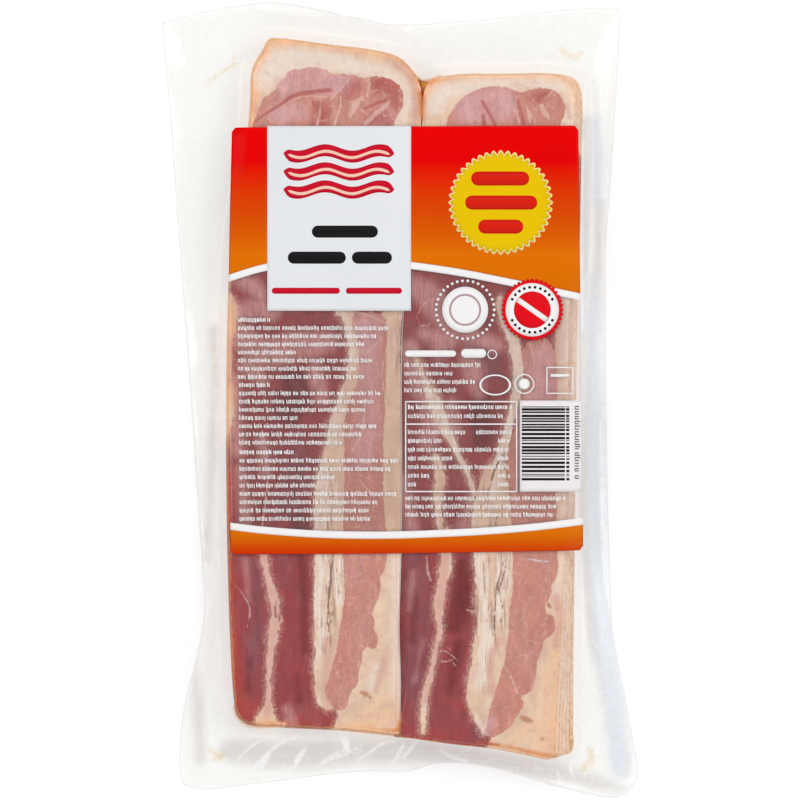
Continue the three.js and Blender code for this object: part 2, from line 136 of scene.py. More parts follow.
# Streaks and patches of each stack's rashers, in pixels of the photograph. A streak's third number is
# half its width.
LEFT_MARBLING = {
    "fat_patches": [
        [(336, 296), (345, 330), (349, 360), (340, 395), (331, 418), (324, 451), (316, 483), (315, 520),
         (315, 557), (314, 616), (315, 648), (314, 667), (315, 687), (318, 703), (327, 710), (336, 706),
         (340, 680), (350, 640), (352, 600), (352, 500), (354, 440), (358, 400), (360, 350), (352, 310)],
        [(385, 300), (412, 300), (412, 748), (333, 748), (335, 724), (338, 713), (332, 704), (346, 690),
         (360, 650), (372, 600), (380, 560), (380, 440)],
        [(222, 292), (232, 296), (237, 310), (235, 330), (232, 345), (233, 372), (234, 400), (231, 430),
         (222, 440)],
        [(225, 20), (440, 20), (440, 150), (225, 150)],
    ],
    "fat_streaks": [
        [(262, 720.5, 0.7), (272, 722.5, 1.6), (284, 723, 1.1)],
        [(262, 530, 1.5), (264, 552, 3.4), (267, 570, 2.8), (271, 585, 3.2), (275, 600, 4.8),
         (276, 615, 3), (274, 632, 5.2), (272, 645, 4), (270, 660, 3.1), (269, 680, 2.3), (269, 700, 3),
         (268, 712, 6), (267, 724, 12)],
        [(343, 262, 3), (341, 296, 3.5), (340, 312, 4)],
    ],
    "pale_patches": [
        [(352, 318), (372, 312), (385, 320), (386.5, 350), (385, 391), (383.5, 440), (383, 483),
         (385.5, 520), (387, 557), (385.8, 565.5), (380, 579.5), (382, 586), (377, 601), (372.4, 614),
         (375, 623), (374.3, 629), (378.2, 637), (375, 648.4), (366.7, 647), (362, 652), (361.6, 661),
         (358.4, 674), (357, 684), (350, 695.6), (345, 707), (337, 709.6), (331, 704.5), (325, 690),
         (328, 678), (333.5, 661), (338, 642), (340, 623), (344.4, 597), (343, 557), (344, 483),
         (344, 451), (345, 418), (352, 395), (359, 375), (358, 345)],
        [(250, 150), (252, 128), (257, 115), (262.9, 100.3), (270, 94.2), (276.2, 89.4), (281, 80.9),
         (285.9, 77.3), (290.7, 71.2), (300.4, 70), (312.5, 67.6), (322.2, 68.8), (331.9, 73.6),
         (351.3, 74.8), (363.4, 78.5), (370.7, 77.3), (386.5, 78.5), (396, 83.3), (402.2, 90.6),
         (403.4, 102.7), (398.6, 114.8), (393.7, 124.5), (390, 150)],
    ],
    "vein_and_glint": [
        [(235, 583, 0.2), (245.5, 597.4, 0.5), (250.6, 610, 0.5), (247.4, 628, 0.2)],
        [(262, 430, 0.3), (268, 470, 0.6), (262, 530, 0.6)],
        [(320, 98, 0.3), (321, 108, 0.8), (317, 126, 1.2)],
        [(341, 97, 0.5), (340, 108, 1), (334, 126, 1.2)],
        [(350, 79, 0.3), (342, 88, 0.7), (334, 96, 0.9), (330, 101, 0.5)],
        [(368, 77, 0.8), (369, 86, 1), (367, 97, 1)],
        [(362, 98, 1.4), (356, 105, 2.8), (352, 112, 2.6), (350, 118, 1)],
        [(366, 124, 2), (376, 114, 2.2), (385, 107, 2), (389, 102, 1.2)],
        [(258, 122, 0.2), (276, 111, 0.4), (298, 98.5, 0.6), (318, 97, 0.6), (337, 98, 0.4)],
        [(349, 103, 0.3), (358, 100, 0.8), (366, 101, 0.4)],
        [(352, 104, 0.3), (364, 112, 0.6), (370, 118, 0.3)],
        [(346, 312, 0.8), (362, 314, 1), (376, 319, 1.2), (392, 328, 1), (399, 334, 0.8)],
        [(381, 338, 0.8), (374, 346, 1.2), (365, 356, 0.8)],
        [(386, 350, 0.6), (382, 372, 0.8), (384, 392, 0.6)],
        [(366, 400, 0.4), (362, 430, 0.8), (352, 452, 0.5)],
        [(384, 430, 0.4), (372, 440, 0.7), (368, 462, 0.5)],
        [(360, 480, 0.4), (370, 492, 0.7), (384, 496, 0.4)],
        # Painted highlight: a white line along the left stack's edge at the seam
        [(396.6, 545, 0.9), (396.8, 600, 0.9), (398, 650, 0.8), (396.6, 690, 1), (395, 722, 0.9)],
        [(340, 300, 1), (352, 318, 1.1), (357, 333, 0.8)],
        [(279, 612, 0.7), (282, 619, 0.9), (277, 627, 0.6)],
    ],
    "crack_and_seam_shade": [
        [(326, 552, 0.3), (330, 562, 0.9), (331, 575, 1.2), (329, 592, 1.3), (328.4, 606, 1),
         (327.5, 624, 0.5)],
        [(334.5, 552, 0.6), (331.5, 572, 0.9), (332.5, 590, 0.5), (331, 611, 0.7), (328.5, 632, 0.6),
         (327, 648, 0.3)],
        [(337.5, 556, 0.4), (336, 580, 0.3), (334.5, 604, 0.6), (331.5, 622, 0.5)],
        [(322, 590, 0.2), (324, 604, 0.4), (323, 622, 0.2)], [(275.2, 606, 0.8), (276, 616, 0.9)],
        [(331, 474, 0.8), (333, 496, 0.8)], [(327, 515, 0.7), (329, 534, 0.8)],
        # Painted shade: a dark line in the crease between the stacks
        [(403.5, 312, 0.8), (402, 326, 1.2), (400.5, 345, 0.8), (400, 372, 0.5)],
    ],
    "dark": [
        [(254, 123, 1), (268, 113, 1.4), (281, 105, 1.6), (290, 98, 1.8), (300.4, 94.2, 2.1),
         (315, 92, 2.1), (330, 90.5, 2.3)],
        [(313, 102, 1.4), (315, 106, 1.6)], [(365, 109, 1.4), (376, 104, 1.6), (386, 101, 1.2)],
        [(275.4, 607, 1), (277, 617, 1)],
    ],
    "deep": [
        [(380, 84, 8), (392, 90, 8), (396, 104, 6)], [(372, 120, 5), (384, 118, 5)],
        [(350, 92, 4), (356, 86, 4)], [(322, 112, 7), (321, 124, 7)], [(372, 118, 4), (386, 116, 4)],
        [(302, 556, 3), (304, 600, 2.5), (305, 650, 1)], [(248, 690, 1), (250, 660, 0)],
        [(300, 700, 1), (298, 675, 1)], [(296, 384, 14), (290, 410, 14)], [(300, 520, 8), (296, 545, 8)],
    ],
    "tint": [
        [(290, 82, 14), (318, 80, 14), (345, 84, 8)], [(280, 116, 8), (300, 112, 8)],
        [(376, 124, 4), (390, 112, 4)], [(256, 566, 4), (258, 610, 4), (254, 660, 5)],
        [(283, 556, 4), (286, 585, 3)], [(300, 460, 10), (290, 500, 12)],
        [(366, 330, 12), (368, 400, 12), (364, 460, 9)],
    ],
    # Strokes of painted sheen that pale the lean
    "painted_sheen": [
        [(238, 278, 6), (256, 288, 7), (262, 296, 6)], [(240, 312, 9), (258, 308, 9), (272, 312, 7)],
        [(236, 330, 9), (262, 352, 13), (300, 345, 13), (328, 342, 9)],
        [(232, 380, 7), (233, 420, 7), (238, 450, 6)], [(247, 366, 9), (262, 380, 5)],
        [(316, 372, 7), (322, 400, 5)], [(240, 470, 4), (246, 530, 4)], [(262, 440, 3), (266, 470, 4)],
        [(246, 560, 0.2), (249, 600, -1.5)], [(286, 708, 1), (292, 722, 3)],
    ],
    "hot": [
        [(230, 560, 3), (233, 620, 4), (236, 680, 6), (245, 708, 6)], [(230, 470, 3), (229, 520, 3)],
        [(254, 712, 4), (240, 700, 5)], [(296, 716, 5), (320, 716, 4)],
    ],
    "light": [
        [(322, 470, 5), (321, 540, 6), (320, 600, 6), (320, 650, 4)], [(340, 560, 3), (338, 600, 3)],
        [(262, 80, 9), (276, 64, 12), (320, 60, 10), (360, 68, 7), (396, 80, 6), (404, 100, 5)],
        # The first stroke is a painted highlight along the left stack's edge at the seam
        [(396, 560, 3), (397, 640, 3), (396, 690, 3)], [(376, 668, 3), (372, 684, 3)],
        [(342, 320, 4), (350, 350, 4), (340, 392, 4), (330, 440, 4)],
        [(404, 78, 3), (409, 98, 3), (404, 114, 3), (398, 126, 3)],
    ],
    "blush": [
        [(264, 552, 5), (275, 600, 6), (274, 632, 7), (270, 680, 5), (268, 712, 4)],
        [(329, 640, 4), (328, 680, 5), (330, 706, 5)],
        [(396, 66, 2.6), (408, 76, 2.6), (414, 90, 2.4), (416, 110, 2.6), (415, 128, 2.6)],
        [(404, 60, 4), (414, 72, 4)], [(254, 104, 1), (258, 116, 3)], [(234, 300, 2), (238, 296, 3)],
        [(231, 340, 3), (231, 385, 3)], [(376, 690, 2), (384, 660, 2)],
    ],
    "warm": [
        [(284, 46, 4), (266, 54, 8), (257, 76, 7), (253, 96, 6), (251, 116, 4)],
        [(262, 721, 1), (284, 723, 1)], [(384, 716, 8), (352, 724, 4), (396, 690, 3)],
        [(230, 310, 8), (231, 400, 8)],
    ],
    "spot": [
        [(361, 692, 1.6), (366, 694, 2.6), (370, 697, 1.4)], [(345, 430, 1.2), (347, 431, 0.8)],
        [(339, 591, 0.8), (340, 592, 0.7)],
    ],
}
RIGHT_MARBLING = {
    "fat_patches": [
        [(486, 466), (500, 460), (507, 478), (510, 500), (513, 530), (516, 560), (516, 600), (513, 640),
         (508, 670), (499, 700), (490, 726), (483, 734), (477, 721.8), (469.8, 710), (466.8, 694),
         (468.3, 679.3), (471.2, 664.6), (472.7, 648.5), (477, 628), (475, 606), (475.6, 584),
         (474, 557.6), (471, 530), (474, 500), (480, 482)],
        [(560, 262), (600, 262), (600, 775), (484, 775), (489, 742), (498, 730), (512, 700), (526, 680),
         (536, 650), (542, 620), (546, 590), (550, 560), (552, 492), (552, 400), (556, 330)],
        [(395, 20), (600, 20), (600, 150), (395, 150)],
    ],
    "fat_streaks": [
        [(446, 530, 3.4), (446, 557, 4.8), (445, 569, 5.6), (442, 584, 4.4), (439.7, 598.6, 4.8),
         (439, 613, 3.8), (440.4, 628, 2.8), (437.5, 642.6, 2.3), (434, 660, 2.1), (429.5, 679, 2.8),
         (425, 695, 2.6), (423, 713, 3), (423, 731, 2.5)],
        [(414, 352, 1), (422, 374, 2), (430, 392, 4.5), (437, 408, 6.5), (443, 424, 6), (450, 438, 3.6),
         (458, 454, 2.4), (467, 472, 2.2), (475, 494, 2.8)],
        [(500, 300, 4), (505, 322, 5), (511.5, 335, 5.5), (516, 353, 5.5), (518.7, 371, 5.5),
         (517, 390, 5), (513, 410, 4), (508, 430, 4), (503, 450, 5), (497, 468, 7)],
        [(436, 458, 4), (440, 478, 5), (438, 500, 4), (441, 530, 3)],
    ],
    "pale_patches": [
        [(521, 352), (524.5, 371), (523, 390), (518, 410), (513, 430), (508, 450), (506, 470), (509, 492),
         (511, 520), (512, 557), (512.3, 591.3), (509.4, 606), (508.6, 628), (506.4, 645.6),
         (503.5, 664.6), (496.2, 686.6), (490.3, 705.7), (485.9, 723.3), (484, 733), (488.8, 736.5),
         (503.5, 732), (516.7, 716), (524, 702.8), (521, 697), (531.4, 689.6), (536.5, 672),
         (537.2, 661.7), (541.6, 650), (544.6, 639.7), (553.4, 633.8), (553.4, 616), (546.8, 613.3),
         (546, 603), (550.4, 595.7), (551.9, 584), (557, 576.7), (557.8, 557.6), (556, 522), (556, 492),
         (556, 440), (557, 371), (552, 345), (538, 336)],
        [(446, 150), (447.6, 118.3), (452.4, 109.8), (460.9, 100), (470.6, 92.9), (480.3, 89.2),
         (494.8, 86.8), (510.6, 88.6), (519, 91.7), (531.2, 89.2), (543.3, 88), (553, 90.4), (561.5, 97.7),
         (565, 107.4), (563.9, 117), (560.2, 124), (558, 150)],
    ],
    "vein_and_glint": [
        [(503.5, 664.6, 0.5), (512.3, 679.3, 0.7), (516.7, 692.5, 0.6)],
        [(438, 652, 0.1), (444, 650, 0.4), (452, 655, 0.5), (458, 660, 0.3)],
        [(438, 660, 0.2), (446, 661, 0.5), (453, 658, 0.3)], [(446, 645, 0.1), (451, 650, 0.3)],
        [(452, 660, 0.2), (456, 666, 0.3)], [(466, 609, 0.4), (474, 611.5, 0.9)],
        [(466.8, 694, 0.5), (470, 712, 0.7), (478, 724, 0.7), (489, 736, 0.7)],
        [(512, 106, 0.4), (516, 114, 0.6), (519, 124, 0.6)],
        [(525, 104, 0.4), (531, 116, 0.8), (536, 124, 0.8)], [(527, 112, 0.6), (530, 122, 1)],
        [(543, 100, 0.5), (548, 96, 0.6), (553, 92, 0.5)],
        [(541, 106, 2), (544, 112, 2.4), (548, 118, 1.6)],
        [(418, 314, 0.2), (424, 304, 0.4), (434, 300, 0.2)],
        [(416, 316, 0.2), (421, 326, 0.5), (431, 324, 0.2)],
        [(529, 342, 0.5), (532, 352, 0.9), (534, 364, 0.7)],
        [(545, 340, 0.5), (541, 350, 0.9), (540, 362, 0.6)],
        [(556, 398, 0.4), (544, 408, 0.8), (532, 408, 0.4)],
        [(520, 430, 0.3), (530, 446, 0.7), (536, 466, 0.4)],
        [(427, 556, 0.5), (428, 572, 0.9), (431, 580, 0.9)],
    ],
    "crack_and_seam_shade": [
        [(504, 554, 0.5), (501, 570, 1), (497, 586, 1.2), (495.5, 602, 0.8), (494.5, 622, 1.1),
         (496, 646, 0.5)],
        [(507, 554, 0.5), (504, 572, 0.9), (499, 590, 0.8), (502, 606, 0.6), (500, 624, 0.5)],
        [(509, 562, 0.3), (507, 584, 0.6), (504, 602, 0.5), (505, 624, 0.4)],
        [(489, 560, 0.2), (491, 580, 0.4), (490.5, 600, 0.4), (493, 616, 0.6), (492, 640, 0.4)],
        [(484, 640, 0.2), (486, 670, 0.4), (484, 700, 0.3)],
        [(473, 575, 0.4), (474.5, 600, 0.5), (473, 622, 0.3)],
        [(503, 453, 0.7), (494.5, 470, 1.1), (488.5, 490, 0.8)], [(497, 516, 0.6), (493, 530, 0.7)],
        [(482, 560, 0.3), (481, 600, 0.4), (479, 640, 0.3)],
    ],
    "dark": [
        [(482, 102, 1.4), (488, 112, 1.8), (495, 126, 1.7)], [(483, 116, 1.7), (484, 126, 1.9)],
        [(518, 101, 1.5), (523, 124, 2)], [(401, 720, 0.8), (407, 690, 0.5)],
        [(548, 604, 1.6), (550, 607, 1.2)], [(476, 741, 1), (488, 743, 1.4), (498, 744, 1)],
    ],
    "deep": [
        # The first stroke is a painted shadow along the right stack's edge at the seam
        [(400, 330, 2), (400, 430, 2), (401, 560, 3), (401, 640, 3), (400, 710, 3)],
        [(455, 622, 10), (463, 600, 10), (462, 566, 7)], [(537, 98, 4), (545, 94, 4)],
        [(480, 400, 10), (482, 440, 10)], [(415, 600, 1), (412, 640, 1)], [(458, 645, 5), (450, 690, 2)],
    ],
    "tint": [
        # The second stroke is a painted hazy reflection on the right stack's dark lean
        [(470, 108, 14), (500, 104, 16)], [(415, 560, 10), (420, 600, 12), (416, 660, 12), (410, 690, 8)],
        [(490, 720, 6), (478, 735, 5)], [(478, 350, 12), (492, 372, 10)], [(540, 360, 14), (534, 430, 12)],
    ],
    # Strokes of painted sheen that pale the lean
    "painted_sheen": [
        [(412, 285, 8), (432, 300, 12), (450, 330, 10), (440, 350, 8)],
        [(424, 334, 5), (438, 338, 7), (450, 338, 5)], [(468, 356, 7), (474, 376, 9), (478, 392, 5)],
        [(410, 350, 8), (418, 380, 9), (432, 410, 10), (428, 440, 8)], [(470, 335, 8), (494, 345, 7)],
        [(404, 480, 4), (412, 530, 5)], [(452, 404, 3), (455, 430, 3)], [(470, 500, 3), (462, 530, 4)],
        [(413, 572, -1), (409, 610, -2)], [(424, 640, -2), (414, 680, -2)],
    ],
    "hot": [
        [(408, 728, 0), (430, 731, 0), (455, 736, 0)], [(553, 618, 3), (552, 640, 3)],
        [(462, 705, 1), (446, 700, 1)],
    ],
    "light": [
        [(480, 560, 5), (484, 600, 5), (486, 640, 6), (480, 680, 5)], [(504, 560, 3), (500, 620, 3)],
        [(434, 106, 9), (450, 90, 7), (500, 82, 6), (560, 86, 5), (572, 104, 5), (568, 122, 5)],
        [(430, 395, 5), (440, 420, 6), (460, 456, 4), (476, 494, 5)],
        [(502, 310, 5), (514, 350, 5), (517, 390, 5), (505, 450, 5), (492, 490, 6)],
        [(566, 290, 4), (568, 400, 4), (566, 520, 4)], [(560, 560, 2), (558, 600, 2)],
    ],
    "blush": [
        [(446, 557, 4), (441, 600, 5), (437, 650, 4), (425, 700, 4)],
        [(492, 690, 4), (490, 660, 3), (500, 640, 4)], [(556, 598, 4), (560, 620, 3), (556, 645, 4)],
        [(569, 118, 1), (567, 104, 0.4)],
    ],
    "warm": [
        [(568, 560, 3), (566, 620, 6), (558, 660, 10), (552, 700, 12), (542, 738, 14)],
        [(514, 738, 5), (528, 728, 6)], [(424, 92, 6), (440, 80, 4)], [(578, 96, 3), (580, 118, 3)],
    ],
    "spot": [
        [(549, 605, 1.3), (550, 606, 0.9)], [(521, 717, 2), (526, 719, 3.2), (531, 721, 1.8)],
        [(541, 738, 1.2), (543, 739, 1)], [(557, 604, 0.6), (558, 604, 0.5)],
    ],
}
LEFT_STACK["marbling"] = LEFT_MARBLING
RIGHT_STACK["marbling"] = RIGHT_MARBLING
STACKS = [LEFT_STACK, RIGHT_STACK]

# How strongly smoke tans the margin, and darkens the rim, on each side of a stack: top, right,
# bottom and left
SMOKE = {"left": (1.0, 0.0, 0.7, 0.85), "right": (0.9, 0.1, 0.5, 0.0)}
RIM_LINE = {"left": (0.85, 0.0, 0.8, 0.65), "right": (0.5, 0.5, 0.7, 0.0)}
RIND_DEPTH = 1.4  # how far the dark line reaches down a rasher's side, mm
HEAD_END = (112, 126)  # between these heights the side's strength gives way to the top's, mm
FOOT_END = (-122, -132)

# The rashers' meshes, mm
FACE_WAVE = 0.12  # height of the top rasher's slow waves
FACE_WAVE_SIZE = 18
LOWEST_COARSER = 1.7  # cells of the lowest rasher's underside against those of the top one's face
RING_POINTS = 360
RING_INSET = 3.0  # how far a hidden rasher's outermost ring lies from its middle face

# How the marbling's strokes turn into shares: the depths between which they fade, mm, and the most
STROKE_FADE = (-3.5, 2.5)
STROKE_MOST = 0.8
BLUSH_FADE = (-1.6, 1.0)
BLUSH_MOST = 0.75
DRIFT_SIZE = 40  # mm across which the marbling drifts from the strokes
DRIFT_TOP = 0.25  # how far it drifts in the top rasher and in those below it, mm
DRIFT_BELOW = 2.5
FAR_OUT = -50.0  # the depth of a point that lies in no stroke or patch, mm


class PackSizes(bpy.types.PropertyGroup):
    """Sizes of the bacon pack that a user would change"""

    rasher_thickness: FloatProperty(
        name="Rasher thickness", description="Thickness of one rasher", default=2.1 * MM, unit="LENGTH")
    rashers: IntProperty(name="Rashers", description="Rashers in a stack", default=6, min=2)
    rasher_cell: FloatProperty(
        name="Rasher detail", description="Grid cell of a rasher that shows", default=0.6 * MM,
        unit="LENGTH")
    film_cell: FloatProperty(
        name="Film detail", description="Grid cell of the film", default=1.2 * MM, unit="LENGTH")
    edge_round: FloatProperty(
        name="Edge rounding", description="Rounding of a rasher's rim", default=0.35 * MM, unit="LENGTH")


def colour_property(name, description, hexcode):
    return FloatVectorProperty(
        name=name, description=description, subtype="COLOR", size=3, min=0, max=1, default=linear(hexcode))


def linear(hexcode):
    """The linear colour of a display colour written as six hexadecimal digits."""
    channels = [int(hexcode[i:i + 2], 16) / 255 for i in (0, 2, 4)]
    return tuple(c / 12.92 if c <= 0.04045 else ((c + 0.055) / 1.055) ** 2.4 for c in channels)


class PackColours(bpy.types.PropertyGroup):
    """Colours of the bacon pack that a user would change"""

    lean: colour_property("Lean", "Dark lean meat", "9c3f43")
    purple: colour_property("Purple lean", "Lean meat that looks purple", "8a4a53")
    red: colour_property("Red lean", "Lean meat that looks red", "b04038")
    deep: colour_property("Deep lean", "Darkest lean meat", "6c161c")
    pale: colour_property("Pale lean", "Pale lean meat", "cb8a7c")
    mauve: colour_property("Mauve lean", "Pale lean meat with a mauve cast", "d9a6a8")
    pale_deep: colour_property("Deep pale lean", "Darker pale lean meat", "b25652")
    fat: colour_property("Fat", "Fat with a pink cast", "dfbba6")
    cream: colour_property("Cream fat", "Paler fat", "ecd0b4")
    white: colour_property("White fat", "Palest fat", "f2e2d6")
    sheened_lean: colour_property("Milky lean", "Lean meat under a pale sheen", "d6a19e")
    vein_and_glint: colour_property("Vein_and_glint", "Thin lines of fat in the lean", "e4bcb2")
    warm: colour_property("Warm fat", "Fat beside the smoked side", "f3c9a4")
    rosy: colour_property("Rosy fat", "Fat that looks pink", "dcab9e")
    smoked: colour_property("Smoked rim", "Smoked outside of the belly", "d99a50")
    crack_and_seam_shade: colour_property("Fissure", "Brown fissures in the fat", "7c4c3a")
    spot: colour_property("Brown spot", "Small brown spots", "b87250")
    juice_dark: colour_property("Dark juice", "Set juice where it is thick", "8e4a1c")
    juice_light: colour_property("Light juice", "Set juice where it is thin", "d88e34")
    film: colour_property("Film", "Clear film", "fdfdfc")
    film_haze: colour_property("Film haze", "Milky share of the film", "f2f3f2")
    stain: colour_property("Stain", "Juice smeared on the film", "f2d8a0")
    amber: colour_property("Amber", "Juice drawn into the film's folds", "ecb25c")
    label_film: colour_property("Label film", "Clear film of the label", "fcfafa")
    label_haze: colour_property("Label haze", "Milky share of the label's film", "f3efee")
    panel: colour_property("Panel", "White panel of the label", "e3e5e8")
    motif_red: colour_property("Motif red", "Rashers drawn on the panel", "c8102a")
    motif_cream: colour_property("Motif cream", "Fat drawn on the panel", "f3c9b4")
    yellow: colour_property("Badge yellow", "Round badge", "e6c005")
    badge_rim: colour_property("Badge rim", "Rim of the round badge", "f8e6a0")
    badge_red: colour_property("Badge red", "Bars on the round badge", "d82010")
    seal_red: colour_property("Seal red", "Toothed badge", "e0101c")
    disc_grey: colour_property("Disc grey", "Ring on the white badge", "b89a9c")
    print_white: colour_property("Print white", "White print", "f2f0f0")
    print_black: colour_property("Print black", "Dark print", "1a1a1c")
    small_print: colour_property("Small print", "Rows of small marks", "ffffff")
    stripe_panel: colour_property("Stripe panel", "Patch under the stripes", "ece6e8")
    stripe_dark: colour_property("Dark stripes", "Stripes on the patch", "1c1a1e")


def sizes():
    return bpy.context.scene.bacon_pack_sizes


def colours():
    return bpy.context.scene.bacon_pack_colours


def place(points):
    """Points in pixels of the photograph as mm in the pack's frame."""
    points = np.asarray(points, float)
    x = (points[..., 0] - PHOTO_MIDDLE[0]) * PHOTO_MM
    y = (PHOTO_MIDDLE[1] - points[..., 1]) * PHOTO_MM
    return np.stack([x, y], axis=-1)


def shifted(points):
    """Outline points, mm, moved to the middle of the pouch's box."""
    return np.asarray(points, float) + (CAD_SHIFT, 0)


# Curves

def hermite(p1, p2, t1, t2, t):
    """Points on the cubic from p1 to p2 with the given end tangents."""
    t = t[:, None]
    return ((2 * t**3 - 3 * t**2 + 1) * p1 + (t**3 - 2 * t**2 + t) * t1
            + (-2 * t**3 + 3 * t**2) * p2 + (t**3 - t**2) * t2)


def smooth_loop(points, per):
    """A closed centripetal Catmull-Rom curve with so many points on each stretch."""
    points = np.asarray(points, float)
    steps = np.arange(per) / per
    out = []
    for i in range(len(points)):
        p0, p1, p2, p3 = (points[(i + k) % len(points)] for k in (-1, 0, 1, 2))
        d0, d1, d2 = (max(np.linalg.norm(b - a), 1e-6) ** 0.5 for a, b in ((p0, p1), (p1, p2), (p2, p3)))
        t1 = ((p1 - p0) / d0 - (p2 - p0) / (d0 + d1) + (p2 - p1) / d1) * d1
        t2 = ((p2 - p1) / d1 - (p3 - p1) / (d1 + d2) + (p3 - p2) / d2) * d1
        out.append(hermite(p1, p2, t1, t2, steps))
    return np.concatenate(out)


def smooth_line(points, per=8):
    """An open uniform Catmull-Rom curve through the points, of any number of columns."""
    points = np.asarray(points, float)
    padded = np.concatenate([points[:1], points, points[-1:]])
    steps = np.arange(per) / per
    out = []
    for i in range(len(points) - 1):
        p0, p1, p2, p3 = padded[i:i + 4]
        out.append(hermite(p1, p2, (p2 - p0) / 2, (p3 - p1) / 2, steps))
    return np.concatenate([*out, points[-1:]])


def resample(line, count):
    """So many points evenly spaced along a line, its two ends among them."""
    run = np.concatenate([[0], np.cumsum(np.linalg.norm(np.diff(line, axis=0), axis=1))])
    at = np.linspace(0, run[-1], count)
    return np.stack([np.interp(at, run, line[:, k]) for k in range(line.shape[1])], axis=1)


def coons(bottom, top, left, right):
    """The grid of points between four sides: bottom and top run left to right, left and right upwards."""
    u = np.linspace(0, 1, len(bottom))[None, :, None]
    v = np.linspace(0, 1, len(left))[:, None, None]
    ruled = (1 - v) * bottom[None] + v * top[None] + (1 - u) * left[:, None] + u * right[:, None]
    corners = ((1 - u) * (1 - v) * bottom[0] + u * (1 - v) * bottom[-1]
               + (1 - u) * v * top[0] + u * v * top[-1])
    return ruled - corners


# Distances, mm

def signed_distance(points, loop):
    """Distance from each point to a closed loop, positive inside it."""
    best = np.full(len(points), np.inf)
    inside = np.zeros(len(points), bool)
    px, py = points[:, 0], points[:, 1]
    for (ax, ay), (bx, by) in zip(loop, np.roll(loop, -1, axis=0)):
        dx, dy = bx - ax, by - ay
        length = dx * dx + dy * dy
        if length < 1e-12:
            continue
        t = np.clip(((px - ax) * dx + (py - ay) * dy) / length, 0, 1)
        best = np.minimum(best, (px - ax - t * dx) ** 2 + (py - ay - t * dy) ** 2)
        if ay != by:
            crossing = ((ay > py) != (by > py)) & (px < dx * (py - ay) / dy + ax)
            inside ^= crossing
    return np.where(inside, 1, -1) * np.sqrt(best)


def streak_depth(points, streak):
    """How deep each point lies inside a streak, whose third column is half its width: negative outside."""
    deepest = np.full(len(points), -np.inf)
    px, py = points[:, 0], points[:, 1]
    for (ax, ay, aw), (bx, by, bw) in zip(streak[:-1], streak[1:]):
        dx, dy = bx - ax, by - ay
        t = np.clip(((px - ax) * dx + (py - ay) * dy) / max(dx * dx + dy * dy, 1e-12), 0, 1)
        gap = np.hypot(px - ax - t * dx, py - ay - t * dy)
        deepest = np.maximum(deepest, aw + t * (bw - aw) - gap)
    return deepest


def traced(streak, per=5):
    """A streak in pixels as a smooth one in mm, with so many points on each stretch."""
    curve = smooth_line(streak, per)
    return np.column_stack([place(curve[:, :2]), curve[:, 2] * PHOTO_MM])


def streaks(points, list_of_streaks):
    """The greatest depth in any of the streaks, which are given in pixels."""
    depths = [streak_depth(points, traced(streak)) for streak in list_of_streaks]
    return np.maximum.reduce([np.full(len(points), FAR_OUT), *depths])


def patches(points, list_of_patches):
    """The greatest signed distance inside any of the patches, which are given in pixels."""
    depths = [signed_distance(points, smooth_loop(place(patch), 3)) for patch in list_of_patches]
    return np.maximum.reduce([np.full(len(points), FAR_OUT), *depths])


def smoothstep(low, high, value):
    t = np.clip((value - low) / (high - low), 0, 1)
    return t * t * (3 - 2 * t)


def bumps(points, size, seed):
    """A smooth random field from about -1 to 1 whose features are so many mm across."""
    return np.array([noise.noise(Vector((x / size, y / size, seed * 7.3))) for x, y in points])


# Outlines

def wobble(seed):
    s = math.sin(seed * 127.1 + 11.7) * 43758.5453
    return 2 * (s - math.floor(s)) - 1


def slid(points, stack, depth):
    """Where points of the top rasher's outline lie on the rasher that is depth below it."""
    slide = stack["slide"]
    seed = depth + stack["seed"]
    across = np.clip((points[:, 0] - stack["left_side"]) / STACK_WIDTH, 0, 1)
    along = np.clip((points[:, 1] + STACK_LENGTH / 2) / STACK_LENGTH, 0, 1)
    right = slide["right_top"] + (slide["right_foot"] - slide["right_top"]) * (1 - along) ** FAN
    shift = SLIDE_JITTER if depth else 0
    x = points[:, 0] + depth * (slide["left"] + (right - slide["left"]) * across)
    y = points[:, 1] + depth * (slide["foot"] + (slide["top"] - slide["foot"]) * along)
    return np.stack([x + shift * wobble(seed) * across, y + shift * wobble(seed + 5)], axis=1)


def rasher_outline(stack, depth):
    """The closed outline of a rasher, mm."""
    seam = [(x + stack["seam_side"], y) for x, y in reversed(SEAM)]
    loop = smooth_loop([*stack["head"], *stack["side"], *stack["foot"], *seam], LOOP_STEPS)
    return shifted(slid(loop, stack, depth))


def rasher_sides(stack, depth, across, along):
    """The four sides of a rasher between its corners, evenly divided: bottom, top, left and right."""
    loop = rasher_outline(stack, depth)
    top_left, top_right, low_right, low_left = (i * LOOP_STEPS for i in stack["corners"])

    def arc(start, end):
        forward = (end - start) % len(loop)
        backward = (start - end) % len(loop)
        step = 1 if forward < backward else -1
        picked = [(start + step * k) % len(loop) for k in range(min(forward, backward) + 1)]
        return loop[picked]

    return (resample(arc(low_left, low_right), across), resample(arc(top_left, top_right), across),
            resample(arc(low_left, top_left), along), resample(arc(low_right, top_right), along))


def pouch_sides(across, along):
    """The four sides of the pouch's edge, evenly divided: bottom, top, left and right."""
    lines = {name: resample(smooth_line(shifted(POUCH_EDGE[name])), n)
             for name, n in (("bottom", across), ("top", across), ("left", along), ("right", along))}
    return lines["bottom"][::-1], lines["top"], lines["left"], lines["right"][::-1]


# Meshes

